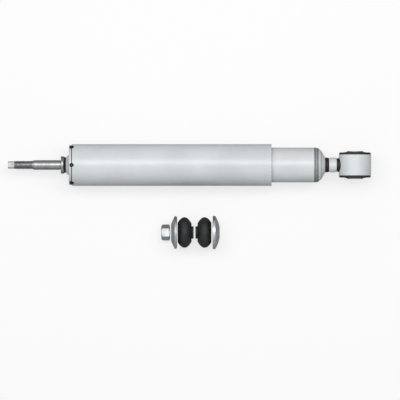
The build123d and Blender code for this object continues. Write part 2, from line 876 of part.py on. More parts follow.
# Weld of collar and cap
with BuildPart() as collar_weld:
    with BuildSketch(bench):
        with BuildLine():
            Polyline(
                (collar_start, collar_weld_d / 2 - edge_break),
                (collar_start, rod_r),
                (cap_top, rod_r),
                (cap_top, cap_neck_d / 2),
            )
            ThreePointArc(
                (cap_top, cap_neck_d / 2),
                ((cap_top + collar_start) / 2, collar_weld_d / 2),
                (collar_start, collar_weld_d / 2 - edge_break),
            )
        make_face()
    revolve(axis=Axis.X)
save(collar_weld, "collar_weld")

# Collar that the stud's first washer bears on
with BuildPart() as stop_collar:
    with BuildSketch(across(collar_start)):
        Circle(collar_d / 2)
        Circle(rod_r, mode=Mode.SUBTRACT)
    extrude(amount=collar_length)
    welded_edge = stop_collar.edges().filter_by(GeomType.CIRCLE).group_by(Axis.X)[-1]
    fillet(welded_edge.sort_by(SortBy.RADIUS)[-1], collar_corner / 2)
    outer_edge = stop_collar.edges().filter_by(GeomType.CIRCLE).group_by(Axis.X)[0]
    chamfer(outer_edge.sort_by(SortBy.RADIUS)[-1], edge_break)
save(stop_collar, "stop_collar")


def kit_bench(station, rest_radius):
    # Section plane of a loose piece that lies on the floor on this radius.
    centre = (-station, -kit_offset, floor_z + rest_radius)
    return Plane(origin=centre, x_dir=(-1, 0, 0), z_dir=(0, 0, -1))


def kit_axis(station, rest_radius):
    return Axis((-station, -kit_offset, floor_z + rest_radius), (1, 0, 0))


stud_bore_r = rod_r + stud_gap
dish_r = dish_d / 2

# Inner washer: one spherical dish, hollow side towards the bush
with BuildPart() as inner_cup_washer:
    outer_sag = dish_depth - dish_thickness
    outer_radius = (dish_r**2 + outer_sag**2) / (2 * outer_sag)
    with BuildSketch(kit_bench(kit_start, dish_r)):
        with Locations((outer_radius, 0)):
            Circle(outer_radius)
            Circle(outer_radius - dish_thickness, mode=Mode.SUBTRACT)
        with Locations((dish_depth / 2, (stud_bore_r + dish_r) / 2)):
            Rectangle(dish_depth, dish_r - stud_bore_r, mode=Mode.INTERSECT)
    revolve(axis=kit_axis(kit_start, dish_r))
save(inner_cup_washer, "inner_cup_washer")


def stud_bush(station, facing):
    # Rubber bush: flat face, crowned bulge, short spigot that faces the other bush.
    # Its section starts at the flat face and runs towards facing, +1 or -1.
    def at(distance, radius):
        return (facing * distance, radius)

    bulge_end = stud_bush_length - stud_bush_spigot_length
    crown_start = stud_bush_side - stud_bush_crown / 2
    crown_end = stud_bush_side + stud_bush_crown / 2
    rest = stud_bush_d / 2
    side_r = (stud_bush_face_d / 2 + rest) / 2
    low_r = (stud_bush_shoulder_d / 2 + rest) / 2
    with BuildPart() as bush:
        with BuildSketch(kit_bench(station, rest)):
            with BuildLine():
                Polyline(
                    at(bulge_end, stud_bush_shoulder_d / 2),
                    at(bulge_end, stud_bush_spigot_d / 2),
                    at(stud_bush_length, stud_bush_spigot_d / 2),
                    at(stud_bush_length, stud_bore_r),
                    at(0, stud_bore_r),
                    at(0, stud_bush_face_d / 2),
                )
                ThreePointArc(
                    at(0, stud_bush_face_d / 2),
                    at(0.4 * crown_start, side_r),
                    at(crown_start, rest),
                )
                Line(at(crown_start, rest), at(crown_end, rest))
                ThreePointArc(
                    at(crown_end, rest),
                    at(crown_end + 0.6 * (bulge_end - crown_end), low_r),
                    at(bulge_end, stud_bush_shoulder_d / 2),
                )
            make_face()
        revolve(axis=kit_axis(station, rest))
    return bush


# The two rubber bushes of the stud, spigots towards each other
inner_bush_start = kit_start + dish_depth + first_gap
inner_bush = stud_bush(inner_bush_start, 1)
save(inner_bush, "inner_bush")

outer_bush_end = inner_bush_start + 2 * stud_bush_length + bush_gap
outer_bush = stud_bush(outer_bush_end, -1)
save(outer_bush, "outer_bush")

# Outer washer: flat middle and conical rim, hollow side towards the bush
outer_dish_start = outer_bush_end + dish_gap
outer_dish_face = outer_dish_start + cone_dish_depth
with BuildPart() as outer_cup_washer:
    slope_rise = cone_dish_depth - dish_thickness
    slope_run = dish_r - cone_dish_flat_d / 2
    slope_length = math.hypot(slope_rise, slope_run)
    rim_shift = dish_thickness * slope_rise / slope_length
    flat_shift = dish_thickness * (slope_length - slope_run) / slope_rise
    with BuildSketch(kit_bench(outer_dish_start, dish_r)):
        with BuildLine():
            Polyline(
                (cone_dish_depth, stud_bore_r),
                (cone_dish_depth, cone_dish_flat_d / 2),
                (dish_thickness, dish_r),
                (0, dish_r - rim_shift),
                (cone_dish_depth - dish_thickness, cone_dish_flat_d / 2 - flat_shift),
                (cone_dish_depth - dish_thickness, stud_bore_r),
                close=True,
            )
        make_face()
        inside_rim = dish_r - rim_shift - edge_break
        bends = vertices().filter_by(lambda corner: stud_bore_r + edge_break < corner.Y < inside_rim)
        fillet(bends, dish_thickness / 2)
    revolve(axis=kit_axis(outer_dish_start, dish_r))
save(outer_cup_washer, "outer_cup_washer")

# Lock nut: hexagon with a chamfered face and a domed end that holds the insert
lock_nut_start = outer_dish_face + nut_gap
lock_nut_rest = lock_nut_flats / 2
corner_r = lock_nut_rest / math.cos(math.radians(30))
recess_start = lock_nut_height - insert_lip - insert_height
lock_nut_plane = kit_bench(lock_nut_start, lock_nut_rest)
with BuildPart() as lock_nut:
    hexagon_plane = Plane(origin=lock_nut_plane.origin, x_dir=(0, 1, 0), z_dir=(-1, 0, 0))
    with BuildSketch(hexagon_plane):
        RegularPolygon(lock_nut_rest, 6, major_radius=False)
    extrude(amount=lock_nut_height)
    with BuildSketch(lock_nut_plane):
        with BuildLine():
            Polyline(
                (lock_nut_height - lock_nut_dome, corner_r),
                (lock_nut_face_chamfer, corner_r),
                (0, lock_nut_face_d / 2),
                (0, thread_r + edge_break),
                (thread_r + edge_break - lock_nut_thread / 2, lock_nut_thread / 2),
                (recess_start, lock_nut_thread / 2),
                (recess_start, insert_d / 2),
                (recess_start + insert_height, insert_d / 2),
                (recess_start + insert_height, insert_lip_d / 2),
                (lock_nut_height, insert_lip_d / 2),
                (lock_nut_height, lock_nut_end_d / 2),
            )
            TangentArc(
                (lock_nut_height - lock_nut_dome, corner_r),
                (lock_nut_height, lock_nut_end_d / 2),
                tangent=(1, 0),
            )
        make_face()
    revolve(axis=kit_axis(lock_nut_start, lock_nut_rest), mode=Mode.INTERSECT)
save(lock_nut, "lock_nut")

with BuildPart() as lock_nut_insert:
    with BuildSketch(lock_nut_plane):
        ring_section(recess_start, recess_start + insert_height, insert_bore_d / 2, insert_d / 2)
    revolve(axis=kit_axis(lock_nut_start, lock_nut_rest))
save(lock_nut_insert, "lock_nut_insert")

print(f"eye to collar {collar_face:.1f}, eye to tip {tip_end:.1f}")
print(f"tube end {tube_end:.1f}, stroke {stroke:.1f}")
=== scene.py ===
import json
import math
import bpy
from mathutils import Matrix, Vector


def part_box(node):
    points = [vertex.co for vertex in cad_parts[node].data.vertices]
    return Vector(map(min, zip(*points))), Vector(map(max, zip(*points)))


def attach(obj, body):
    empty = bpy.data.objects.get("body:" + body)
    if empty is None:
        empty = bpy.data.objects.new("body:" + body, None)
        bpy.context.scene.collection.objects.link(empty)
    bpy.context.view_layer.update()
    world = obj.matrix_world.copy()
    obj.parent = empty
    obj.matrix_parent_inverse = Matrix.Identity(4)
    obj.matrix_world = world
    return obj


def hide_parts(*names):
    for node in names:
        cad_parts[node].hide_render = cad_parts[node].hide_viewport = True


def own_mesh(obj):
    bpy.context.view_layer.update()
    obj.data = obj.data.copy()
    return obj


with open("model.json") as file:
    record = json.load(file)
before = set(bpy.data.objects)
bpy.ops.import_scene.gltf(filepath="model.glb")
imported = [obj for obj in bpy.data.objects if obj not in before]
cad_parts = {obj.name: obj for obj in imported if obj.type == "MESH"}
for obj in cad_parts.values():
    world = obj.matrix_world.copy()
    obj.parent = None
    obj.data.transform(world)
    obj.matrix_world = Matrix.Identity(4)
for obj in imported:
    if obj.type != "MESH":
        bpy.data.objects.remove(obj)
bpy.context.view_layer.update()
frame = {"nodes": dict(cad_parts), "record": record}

from types import SimpleNamespace
import bpy
import numpy as np

# Two-tube shock absorber lying on its side, with the loose fitting parts of its stud beside it.
# Shapes are worked out in millimetres. A station is a distance from the eye's centre towards the stud (-X),
# a turn is an angle round an axis in radians, and a size whose name ends in R is a radius. A piece's sizes
# begin with those of its CAD node where the two are alike.
mm = 0.001
scene = bpy.context.scene
slotOf = {part["node"]: part["material_slot"] for part in frame["record"]["subparts"]}
bodyOf = {node: body for body, members in frame["record"]["behaviour"]["bodies"].items() for node in members}


def nodeSpan(name):  # lowest and highest corner of a CAD node
    low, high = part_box(name)
    return np.array(low) / mm, np.array(high) / mm


def rodSpan(name):  # stations and outer radius of a CAD node about the rod's axis
    low, high = nodeSpan(name)
    return {"start": -high[0], "end": -low[0], "outerR": high[1]}


def eyeSpan(name):  # outer radius and half the height of a CAD node about the bolt's axis
    high = nodeSpan(name)[1]
    return {"outerR": high[0], "half": high[1]}


def sized(span=None, **more):  # a piece's sizes by name, those of its CAD node first
    return SimpleNamespace(**(span or {}) | more)


floorZ = nodeSpan("cover_weld_spots")[0][2]  # the absorber lies on a weld spot of its cover


def linearColour(hexColour):
    # sRGB hex to linear: a straight line up to 0.04045, a curve of power 2.4 above it, and alpha 1
    values = [int(hexColour[i:i + 2], 16) / 255 for i in (1, 3, 5)]
    return tuple(v / 12.92 if v <= 0.04045 else ((v + 0.055) / 1.055) ** 2.4 for v in values) + (1.0,)


def addNode(tree, kind, settings=None, links=None, output=0):
    # one shader node: settings by socket name, socket number or property, with hex colours turned to linear,
    # and incoming links by socket; returns the output of this name or number
    node = tree.nodes.new("ShaderNode" + kind)
    for key, value in (settings or {}).items():
        if isinstance(key, int) or key in node.inputs:
            node.inputs[key].default_value = linearColour(value) if isinstance(value, str) else value
        else:
            setattr(node, key, value)
    for key, socket in (links or {}).items():
        tree.links.new(socket, node.inputs[key])
    return node.outputs[output]


def calculate(tree, operation, *values):
    # one Math node; each value is a socket or a number
    numbers = {i: value for i, value in enumerate(values) if isinstance(value, float)}
    sockets = {i: value for i, value in enumerate(values) if i not in numbers}
    return addNode(tree, "Math", {"operation": operation} | numbers, sockets)


def ramp(tree, value, settings):
    # one Map Range node: a straight line between the two ends it is given, clamped at both
    return addNode(tree, "MapRange", settings, {"Value": value})


def newMaterial(name, constants):
    # a Principled material with constants on its own sockets; returns what the recipes below need
    material = bpy.data.materials.new(name)
    material.use_nodes = True
    tree = material.node_tree
    shader = tree.nodes["Principled BSDF"]
    for key, value in constants.items():
        shader.inputs[key].default_value = value
    return material, tree, shader, addNode(tree, "TexCoord", output="Object")


def patches(tree, place, size, detail=4, rough=0.55, stretch=None, cut=None):
    # uneven patches about this many millimetres large. Stretch scales the pattern along X and across it:
    # below 1 it is drawn out that way, above 1 it is packed. Cut sends the noise through a straight ramp,
    # clamped at both ends: its low and high and, where that isn't 0 and 1, what it gives there
    if stretch:
        along, across = stretch
        place = addNode(tree, "Mapping", {"Scale": (along, across, across)}, {"Vector": place})
    settings = {"Scale": 1 / (size * mm), "Detail": detail, "Roughness": rough}
    value = addNode(tree, "TexNoise", settings, {"Vector": place})
    if cut:
        settings = dict(zip(("From Min", "From Max", "To Min", "To Max"), cut))
        value = ramp(tree, value, settings)
    return value


def nearStations(tree, place, marks):
    # mask that is 1 at the station of each mark and falls straight to 0 at the mark's width from it
    x = addNode(tree, "SeparateXYZ", {}, {"Vector": place})
    mask = None
    for station, width in marks:
        distance = calculate(tree, "ABSOLUTE", calculate(tree, "ADD", x, station * mm))
        settings = {"From Max": width * mm, "To Min": 1.0, "To Max": 0.0}
        near = ramp(tree, distance, settings)
        mask = near if mask is None else calculate(tree, "MAXIMUM", mask, near)
    return mask


def dress(tree, shader, base, coats, rough=None, height=None, depth=0.0):
    # colour: each coat of (mask, hex) covers what is under it, the base at first, as far as its mask goes;
    # bump: height 1 stands this many millimetres above height 0
    under = base
    for mask, coat in coats:
        settings, links = {"data_type": "RGBA", 7: coat}, {0: mask}
        (settings if under is base else links)[6] = under  # the base is a hex, what comes after it a socket
        under = addNode(tree, "Mix", settings, links, 2)
    tree.links.new(under, shader.inputs["Base Color"])
    if rough is not None:
        tree.links.new(rough, shader.inputs["Roughness"])
    if height is not None:
        settings = {"Strength": 1.0, "Distance": depth * mm}
        tree.links.new(addNode(tree, "Bump", settings, {"Height": height}), shader.inputs["Normal"])


# joint is a darker grey laid round marked stations: painted shade in the crevice between cover tube and cap,
# and the cup's witness line
enamelLook = {
    "colour": "#D9DDDF", "shade": "#CBD0D3", "joint": "#4A4D50", "chipped": "#2E3032",
    "constants": {"Coat Weight": 0.25, "Coat Roughness": 0.18},
    "cloud": {"size": 55, "detail": 3, "cut": (0.35, 0.65)},
    "scuff": {"size": 5, "detail": 6, "rough": 0.7, "stretch": (0.35, 3.0), "cut": (0.3, 0.75, 0.28, 0.44)},
    "jointShadeAndWitnessRange": {"From Min": 0.1, "From Max": 0.5},
    "chips": {"size": 1.4, "detail": 5, "rough": 0.65}, "chipRange": {"From Min": 0.47, "From Max": 0.5},
    "chippedRough": 0.6, "peel": {"size": 1.6, "detail": 2}, "peelDepth": 0.012,
}


def satinEnamel(name, wornMarks=(), jointShadeAndWitnessMarks=()):
    # stove enamel sprayed on steel: soft gloss, faint orange peel, bare dark metal where an edge is chipped,
    # and darker grey bands at the marked stations: painted shade in the crevice between cover tube and cap,
    # and the cup's dark witness line
    look = enamelLook
    material, tree, shader, place = newMaterial(name, look["constants"])
    coats = [(patches(tree, place, **look["cloud"]), look["shade"])]
    gloss = patches(tree, place, **look["scuff"])
    # painted shade at the joint crevices, and the cup's witness line: darker grey falling off from each mark
    if jointShadeAndWitnessMarks:
        near = nearStations(tree, place, jointShadeAndWitnessMarks)
        coats.append((ramp(tree, near, look["jointShadeAndWitnessRange"]), look["joint"]))
    if wornMarks:
        near, chips = nearStations(tree, place, wornMarks), patches(tree, place, **look["chips"])
        worn = calculate(tree, "MULTIPLY", near, chips)
        chip = ramp(tree, worn, look["chipRange"])
        coats.append((chip, look["chipped"]))
        chipGloss = ramp(tree, chip, {"To Max": look["chippedRough"]})
        gloss = calculate(tree, "MAXIMUM", gloss, chipGloss)
    dress(tree, shader, look["colour"], coats, gloss, patches(tree, place, **look["peel"]), look["peelDepth"])
    return material


weldLook = {
    "scale": "#0C0D0E", "rust": "#1F1B18", "temper": "#151A23", "bared": "#C9CCCE",
    "constants": {"Metallic": 0.35}, "rough": {"To Min": 0.42, "To Max": 0.65},
    "patch": {"size": 4.5, "cut": (0.4, 0.62)}, "blue": {"size": 7.0, "detail": 2, "cut": (0.55, 0.7)},
    "streak": {"size": 1.2, "stretch": (3.0, 0.5), "cut": (0.25, 0.6)},
    "grain": {"size": 0.5, "rough": 0.6}, "grainDepth": 0.02,
}


def weldBead(name, brushedMarks=()):
    # gas-shielded weld left as it froze: dark scale with brown and blue temper colours;
    # at the marks of its crests a wire brush has bared it to grey
    look = weldLook
    material, tree, shader, place = newMaterial(name, look["constants"])
    patch = patches(tree, place, **look["patch"])
    coats = [(patch, look["rust"]), (patches(tree, place, **look["blue"]), look["temper"])]
    if brushedMarks:
        near, streaks = nearStations(tree, place, brushedMarks), patches(tree, place, **look["streak"])
        coats.append((calculate(tree, "MULTIPLY", near, streaks), look["bared"]))
    rough = ramp(tree, patch, look["rough"])
    grain = patches(tree, place, **look["grain"])
    dress(tree, shader, look["scale"], coats, rough, grain, look["grainDepth"])
    return material


turnedLook = {
    "bright": "#9C9EA1", "oily": "#858584", "constants": {"Metallic": 1.0},
    "oil": {"size": 8.0, "cut": (0.4, 0.7)}, "rough": {"To Min": 0.33, "To Max": 0.46},
    "rings": {"wave_type": "BANDS", "bands_direction": "X", "Distortion": 0.6, "Detail": 2.0,
              "Detail Scale": 1.5},
    "ringGap": 2.199, "ringDepth": 0.012,
}


def turnedSteel(name):
    # steel from the lathe: an oily film over rings of the tool's feed, drawn 2.2 mm apart because the real
    # 0.15 mm is too fine to show; a band texture repeats after 2 pi / 20 of its unit
    look = turnedLook
    material, tree, shader, place = newMaterial(name, look["constants"])
    scale = {"Scale": 2 * math.pi / 20 / (look["ringGap"] * mm)}
    rings = addNode(tree, "TexWave", look["rings"] | scale, {"Vector": place}, "Fac")
    oil = patches(tree, place, **look["oil"])
    rough = ramp(tree, oil, look["rough"])
    dress(tree, shader, look["bright"], [(oil, look["oily"])], rough, rings, look["ringDepth"])
    return material


sinteredLook = {
    "pore": "#3C3D3F", "solid": "#77787A", "constants": {"Metallic": 0.85, "Roughness": 0.55},
    "poreSize": 0.5, "poreRange": {"From Min": 0.05, "From Max": 0.3}, "poreDepth": 0.03,
}


def sinteredIron(name):
    # pressed and sintered iron powder: dull grey with open dark pores
    look = sinteredLook
    material, tree, shader, place = newMaterial(name, look["constants"])
    settings = {"Scale": 1 / (look["poreSize"] * mm)}
    cells = addNode(tree, "TexVoronoi", settings, {"Vector": place}, "Distance")
    solid = ramp(tree, cells, look["poreRange"])
    dress(tree, shader, look["pore"], [(solid, look["solid"])], height=solid, depth=look["poreDepth"])
    return material


def patchyFinish(name, look, base, *coatColours):
    # a base colour with a coat of patches for each further colour; the first patches may steer the roughness
    # too, and a fine grain may raise the surface
    material, tree, shader, place = newMaterial(name, look["constants"])
    masks = [patches(tree, place, **settings) for settings in look["patches"]]
    rough = ramp(tree, masks[0], look["rough"]) if "rough" in look else None
    grain = patches(tree, place, **look["grain"]) if "grain" in look else None
    dress(tree, shader, base, zip(masks, coatColours), rough, grain, look.get("grainDepth", 0.0))
    return material


# zinc plate on pressed steel: bright metal with cloudy passivation, tinted in places, and a fine grain
zincLook = {
    "constants": {"Metallic": 1.0}, "rough": {"To Min": 0.36, "To Max": 0.5},
    "patches": [{"size": 6.0, "detail": 5, "cut": (0.35, 0.68)},
                {"size": 14.0, "detail": 2, "cut": (0.5, 0.75)}],
    "grain": {"size": 0.35, "detail": 3}, "grainDepth": 0.006,
}
# ground and hard-chromed steel: mirror-like, with hair lines round it from the last polishing
chromeLook = {
    "constants": {"Metallic": 1.0},
    "patches": [{"size": 1.0, "detail": 6, "rough": 0.7, "stretch": (6.0, 0.4)}],
    "rough": {"From Min": 0.35, "From Max": 0.7, "To Min": 0.05, "To Max": 0.13},
}
# carbon-black rubber from a mould: matt, greyed in patches by wax bloom, with a fine mould grain
rubberLook = {
    "constants": {"Specular IOR Level": 0.4}, "patches": [{"size": 9.0, "detail": 5, "cut": (0.4, 0.72)}],
    "rough": {"To Min": 0.55, "To Max": 0.75}, "grain": {"size": 0.45, "rough": 0.6}, "grainDepth": 0.03,
}
# injection-moulded nylon: waxy half gloss, slightly uneven in tone
nylonLook = {
    "constants": {"Roughness": 0.4}, "patches": [{"size": 2.5, "detail": 3, "cut": (0.35, 0.7)}],
    "grain": {"size": 0.3, "detail": 3}, "grainDepth": 0.008,
}
# oil-tempered spring wire: blue-grey, browned in places
wireLook = {
    "constants": {"Metallic": 1.0, "Roughness": 0.35}, "patches": [{"size": 3.0, "cut": (0.35, 0.7)}],
    "grain": {"size": 0.25, "detail": 3}, "grainDepth": 0.004,
}
# rolled bearing bronze: warm yellow metal, darker and raised along fine running lines round it
bronzeLines = {"size": 1.0, "detail": 5, "rough": 0.6, "stretch": (8.0, 0.5)}
bronzeLook = {
    "constants": {"Metallic": 1.0, "Roughness": 0.32}, "patches": [bronzeLines], "grain": bronzeLines,
    "grainDepth": 0.006,
}
satinPlain = satinEnamel("satinEnamelPressed")
weldScale = weldBead("oxidisedWeld")
zincSteel = patchyFinish("brightZincPlate", zincLook, "#C4C7CA", "#A9AEB4", "#B9B4A4")
dullZinc = patchyFinish("dullZincPlate", zincLook, "#94979B", "#7E8287", "#8C867A")  # older and greyer
turnedBar = turnedSteel("turnedSteelBar")
chromeRod = patchyFinish("hardChromeRod", chromeLook, "#DADDE0", "#C9CCD0")
blackRubber = patchyFinish("mouldedRubber", rubberLook, "#191A1B", "#2B2C2D")
blackNylon = patchyFinish("mouldedNylon", nylonLook, "#17181A", "#232427")
# sliding plastic filled with bronze powder: as waxy as the nylon, but brown
slidingBand = patchyFinish("bronzeFilledSlidingPlastic", nylonLook, "#5B4A30", "#6C5A3C")
springSteel = patchyFinish("oilTemperedSpringSteel", wireLook, "#565C66", "#7A736A")
bearingBronze = patchyFinish("rolledBearingBronze", bronzeLook, "#C39A5E", "#9E7844")
slotMaterials = {
    "enamel": satinPlain, "weld": weldScale, "zinc_steel": zincSteel, "turned_steel": turnedBar,
    "chromed_rod": chromeRod, "rubber": blackRubber, "nylon": blackNylon, "ptfe": slidingBand,
    "spring_steel": springSteel, "bronze": bearingBronze, "sintered": sinteredIron("sinteredIron"),
}
print("materials made")

# every CAD node gets its slot's finish, and those that nothing below stands in for keep it as they are
for nodeName, nodeObject in frame["nodes"].items():
    nodeObject.data.materials.clear()
    nodeObject.data.materials.append(slotMaterials[slotOf[nodeName]])
print("inner pieces dressed")


def roundedOutline(corners, closed=True, steps=7, hold=0.3, spacing=None):
    # section line through corners of (station, radius, rounding), the rounding left out where the corner is
    # sharp. A corner is a quadratic curve whose ends lie one rounding away along its two sides. A long
    # straight stretch gets a point just past each curve, and one at every spacing where that is given
    points = np.array([c[:2] for c in corners], float)
    reach = np.array([c[2] if len(c) > 2 else 0.0 for c in corners], float)
    before, after = np.roll(points, 1, axis=0) - points, np.roll(points, -1, axis=0) - points
    lengthBefore = np.linalg.norm(before, axis=1, keepdims=True)
    lengthAfter = np.linalg.norm(after, axis=1, keepdims=True)
    limit = 0.48 * np.minimum(lengthBefore, lengthAfter)  # two curves on one side never meet
    reach = np.minimum(reach[:, None], limit)
    if not closed:
        reach[0] = reach[-1] = 0.0
    start = points + before / lengthBefore * reach
    end = points + after / lengthAfter * reach
    t = shares(steps)
    line = []
    count = len(points)
    for i in range(count):
        if reach[i, 0] > 0:
            line.append((1 - t) ** 2 * start[i] + 2 * t * (1 - t) * points[i] + t ** 2 * end[i])
        else:
            line.append(points[i:i + 1])
        if i == count - 1 and not closed:
            break
        a, b = line[-1][-1], start[(i + 1) % count]
        length = np.linalg.norm(b - a)
        stops = [hold / length, 1 - hold / length] if length > 3 * hold else []
        if spacing and length > 2 * spacing:
            stops = list(np.linspace(0, 1, int(length / spacing) + 1)[1:-1]) + stops
        if stops:
            line.append(a + (b - a) * np.array(sorted(stops))[:, None])
    line = np.vstack(line)
    keep = np.linalg.norm(line - np.roll(line, 1, axis=0), axis=1) > 1e-6  # no point stands twice
    keep[0] = True
    return line[keep]


def turns(count):  # a row of equal turns round an axis, the last one short of the first
    return np.arange(count)[None, :] / count * 2 * math.pi


def shares(count):  # a column of even steps from 0 to 1
    return np.linspace(0, 1, count)[:, None]


def alongRod(stations, radii, angles, centre=(0.0, 0.0)):
    # X is minus the station, Y and Z are the radius times cosine and sine of the turn, about centre (Y, Z)
    stations, radii = np.broadcast_arrays(stations, radii)
    y, z = centre[0] + radii * np.cos(angles), centre[1] + radii * np.sin(angles)
    return np.stack([-stations, y, z], axis=-1)


def alongEye(heights, radii, angles):
    # the same about the bolt's axis: Y is the height, X and Z are the radius times sine and cosine
    heights, radii = np.broadcast_arrays(heights, radii)
    return np.stack([radii * np.sin(angles), heights, radii * np.cos(angles)], axis=-1)


def stitch(rows, closedSection, offset):
    # quads between neighbouring rows and turns; an open section ends in a fan round a point at each end
    count, around = rows.shape[:2]
    index = np.arange(count * around).reshape(count, around) + offset
    upper = np.roll(index, -1, axis=0) if closedSection else index[1:]
    lower = index if closedSection else index[:-1]
    quads = np.stack([lower, np.roll(lower, -1, axis=1), np.roll(upper, -1, axis=1), upper], axis=-1)
    faces = quads.reshape(-1, 4).tolist()
    points = rows.reshape(-1, 3)
    if not closedSection:
        points = np.vstack([points, rows[0].mean(axis=0), rows[-1].mean(axis=0)])
        first, last = offset + count * around, offset + count * around + 1
        near = np.stack([np.full(around, first), np.roll(index[0], -1), index[0]], axis=-1)
        far = np.stack([np.full(around, last), index[-1], np.roll(index[-1], -1)], axis=-1)
        faces += near.tolist() + far.tolist()
    return points, faces


def signedVolume(points, faces):
    # sum of a . (b x c) / 6 over the triangles; negative where the faces point inwards
    triangles = np.array([(f[0], f[i], f[i + 1]) for f in faces for i in range(1, len(f) - 1)])
    a, b, c = (points[triangles[:, i]] for i in range(3))
    return np.einsum("ij,ij->i", a, np.cross(b, c)).sum() / 6


def addObject(name, data):  # an object of the scene, at the origin
    added = bpy.data.objects.new(name, data)
    scene.collection.objects.link(added)
    return added


def makePiece(name, shells, node, materials, sharpDegrees=38, materialOfFace=None):
    # one object from shells of (rows, closed section), turned so that their faces point outwards; it replaces
    # the CAD node and rides its body, and materialOfFace picks each face's material by the face's centre
    allPoints, allFaces, offset = [], [], 0
    for rows, closedSection in shells:
        points, faces = stitch(rows, closedSection, offset)
        local = [[i - offset for i in f] for f in faces]
        if signedVolume(points, local) < 0:
            faces = [f[::-1] for f in faces]
        allPoints.append(points)
        allFaces += faces
        offset += len(points)
    mesh = bpy.data.meshes.new(name)
    mesh.from_pydata((np.vstack(allPoints) * mm).tolist(), [], allFaces)
    mesh.update()
    mesh.shade_smooth()
    mesh.set_sharp_from_angle(angle=math.radians(sharpDegrees))
    for material in materials:
        mesh.materials.append(material)
    if materialOfFace is not None:
        centres = np.empty(len(mesh.polygons) * 3)
        mesh.polygons.foreach_get("center", centres)
        index = materialOfFace(centres.reshape(-1, 3) / mm)
        mesh.polygons.foreach_set("material_index", index.astype(np.int32))
    piece = addObject(name, mesh)
    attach(piece, bodyOf[node])
    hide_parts(node)
    return piece


def lathe(name, node, material, outline, around, about=alongRod, closed=True, **where):
    # one piece: every (station, radius) point of a section line carried round the axis in equal turns
    angles = turns(around)
    rows = about(outline[:, :1], outline[:, 1:] + 0 * angles, angles, **where)
    makePiece(name, [(rows, closed)], node, [material])


def rippleHeight(turn, across, count, lean=0.35):
    # weld ripples: half circles in a row round the bead, the root of 1 - (2 phase - 1)^2, where the phase
    # counts the ripples and leans back towards the bead's two edges
    phase = (turn / (2 * math.pi) * count + lean * (2 * across - 1) ** 2) % 1.0
    return np.sqrt(np.clip(1 - (2 * phase - 1) ** 2, 0, 1))


def makeWeld(name, node, finish, station, radius, rootR, angles, rootEnd=None):
    # a bead's rows of station and radius round the rod's axis, its section closed through the root, which
    # starts under the last row or at rootEnd and ends under the first
    under = station[-1:] if rootEnd is None else rootEnd
    radii = np.vstack([radius, np.full((2, angles.shape[1]), rootR)])
    rows = alongRod(np.vstack([station, under, station[:1]]), radii, angles)
    makePiece(name, [(rows, True)], node, [finish], sharpDegrees=60)


def threadGroove(stations, angles, pitch, crestFlat, rootFlat):
    # depth of a thread's groove from 0 to 1: its middle lies at station + pitch * turn / full turn, and crest
    # and root are flat over these shares of the pitch
    winding = ((stations + pitch * angles / (2 * math.pi)) / pitch) % 1.0
    return np.clip((1 - crestFlat - np.abs(2 * winding - 1)) / (1 - crestFlat - rootFlat), 0, 1)


# Eye: sleeve, rubber and ring, all turned about the bolt's axis
sleeveSizes = sized(
    eyeSpan("eye_sleeve"), boreR=6.1, boreEdge=0.4, edge=0.5, rowGap=2.5, teeth=40, toothPoints=8,
    toothDepth=0.22, toothFade=0.3, toothReach=1.25
)


def eyeSleeve():
    # plain tube with serrated ends: the rows of an end face sink by a zigzag of the turn, which fades out
    # towards the face's two edges
    s = sleeveSizes
    half, fade = s.half, s.toothFade
    outline = roundedOutline([
        (-half, s.boreR, s.boreEdge), (-half, s.outerR, s.edge), (half, s.outerR, s.edge),
        (half, s.boreR, s.boreEdge)], spacing=s.rowGap)
    angles = turns(s.teeth * s.toothPoints)
    height, radius = outline[:, :1], outline[:, 1:]
    tooth = np.abs((angles / (2 * math.pi) * s.teeth) % 1 * 2 - 1)
    middle = (s.boreR + s.outerR) / 2
    onFace = np.clip((np.abs(height) - half + fade) / fade, 0, 1)
    inFace = np.clip(s.toothReach - np.abs(radius - middle), 0, fade) / fade
    sunk = s.toothDepth * tooth * onFace * inFace
    rows = alongEye(height - np.sign(height) * sunk, radius + 0 * tooth, angles)
    makePiece("eyeSleeveSerrated", [(rows, True)], "eye_sleeve", [dullZinc])


ringSizes = sized(eyeSpan("eye_ring"), boreR=15.3, edge=0.6, boreEdge=0.3, around=240)
bushSizes = sized(
    crown=3.0, lipR=11.6, lipDepth=0.5, lipWall=0.9, flange=2.4, flangeR=18.2, flangeTaper=2.6, inset=0.1,
    fall=0.15, sleeveGap=0.05, ringGap=0.02, sleeveEdge=0.3, lipBend=0.5, lipEdge=0.6, lipRoot=0.7,
    flangeBend=1.0, flangeEdge=2.1, underEdge=0.2, steps=9,
)


def eyeBush():
    # rubber between sleeve and ring, with a rounded flange over each ring face and a lip round the sleeve
    b, sleeveR, ringR, half = bushSizes, sleeveSizes.outerR, ringSizes.boreR, ringSizes.half
    top, flange, under = half + b.crown, half + b.flange, half + b.ringGap
    side = [
        (0, sleeveR + b.sleeveGap, 0), (top - b.inset, sleeveR + b.sleeveGap, b.sleeveEdge),
        (top, sleeveR + b.lipWall, b.lipBend), (top - b.fall, b.lipR, b.lipEdge),
        (top - b.lipDepth - b.inset, b.lipR + b.lipWall, b.lipRoot),
        (flange, b.flangeR - b.flangeTaper, b.flangeBend),
        (flange - b.fall, b.flangeR, b.flangeEdge),
        (under, b.flangeR, b.underEdge), (under, ringR, b.underEdge), (0, ringR, 0)]
    mirrored = [(-h, r, k) for h, r, k in side[::-1]]
    outline = roundedOutline(side[:-1] + mirrored[:-1], steps=b.steps)
    lathe("eyeBushRubber", "eye_bush", blackRubber, outline, ringSizes.around, alongEye)


def eyeRing():
    # a length of thick tube: a rectangle with broken edges, turned about the bolt's axis
    r, half = ringSizes, ringSizes.half
    outline = roundedOutline([
        (-half, r.boreR, r.boreEdge), (-half, r.outerR, r.edge), (half, r.outerR, r.edge),
        (half, r.boreR, r.boreEdge)])
    lathe("eyeRingTube", "eye_ring", satinPlain, outline, r.around, alongEye)


eyeSleeve()
eyeBush()
eyeRing()
print("eye made")

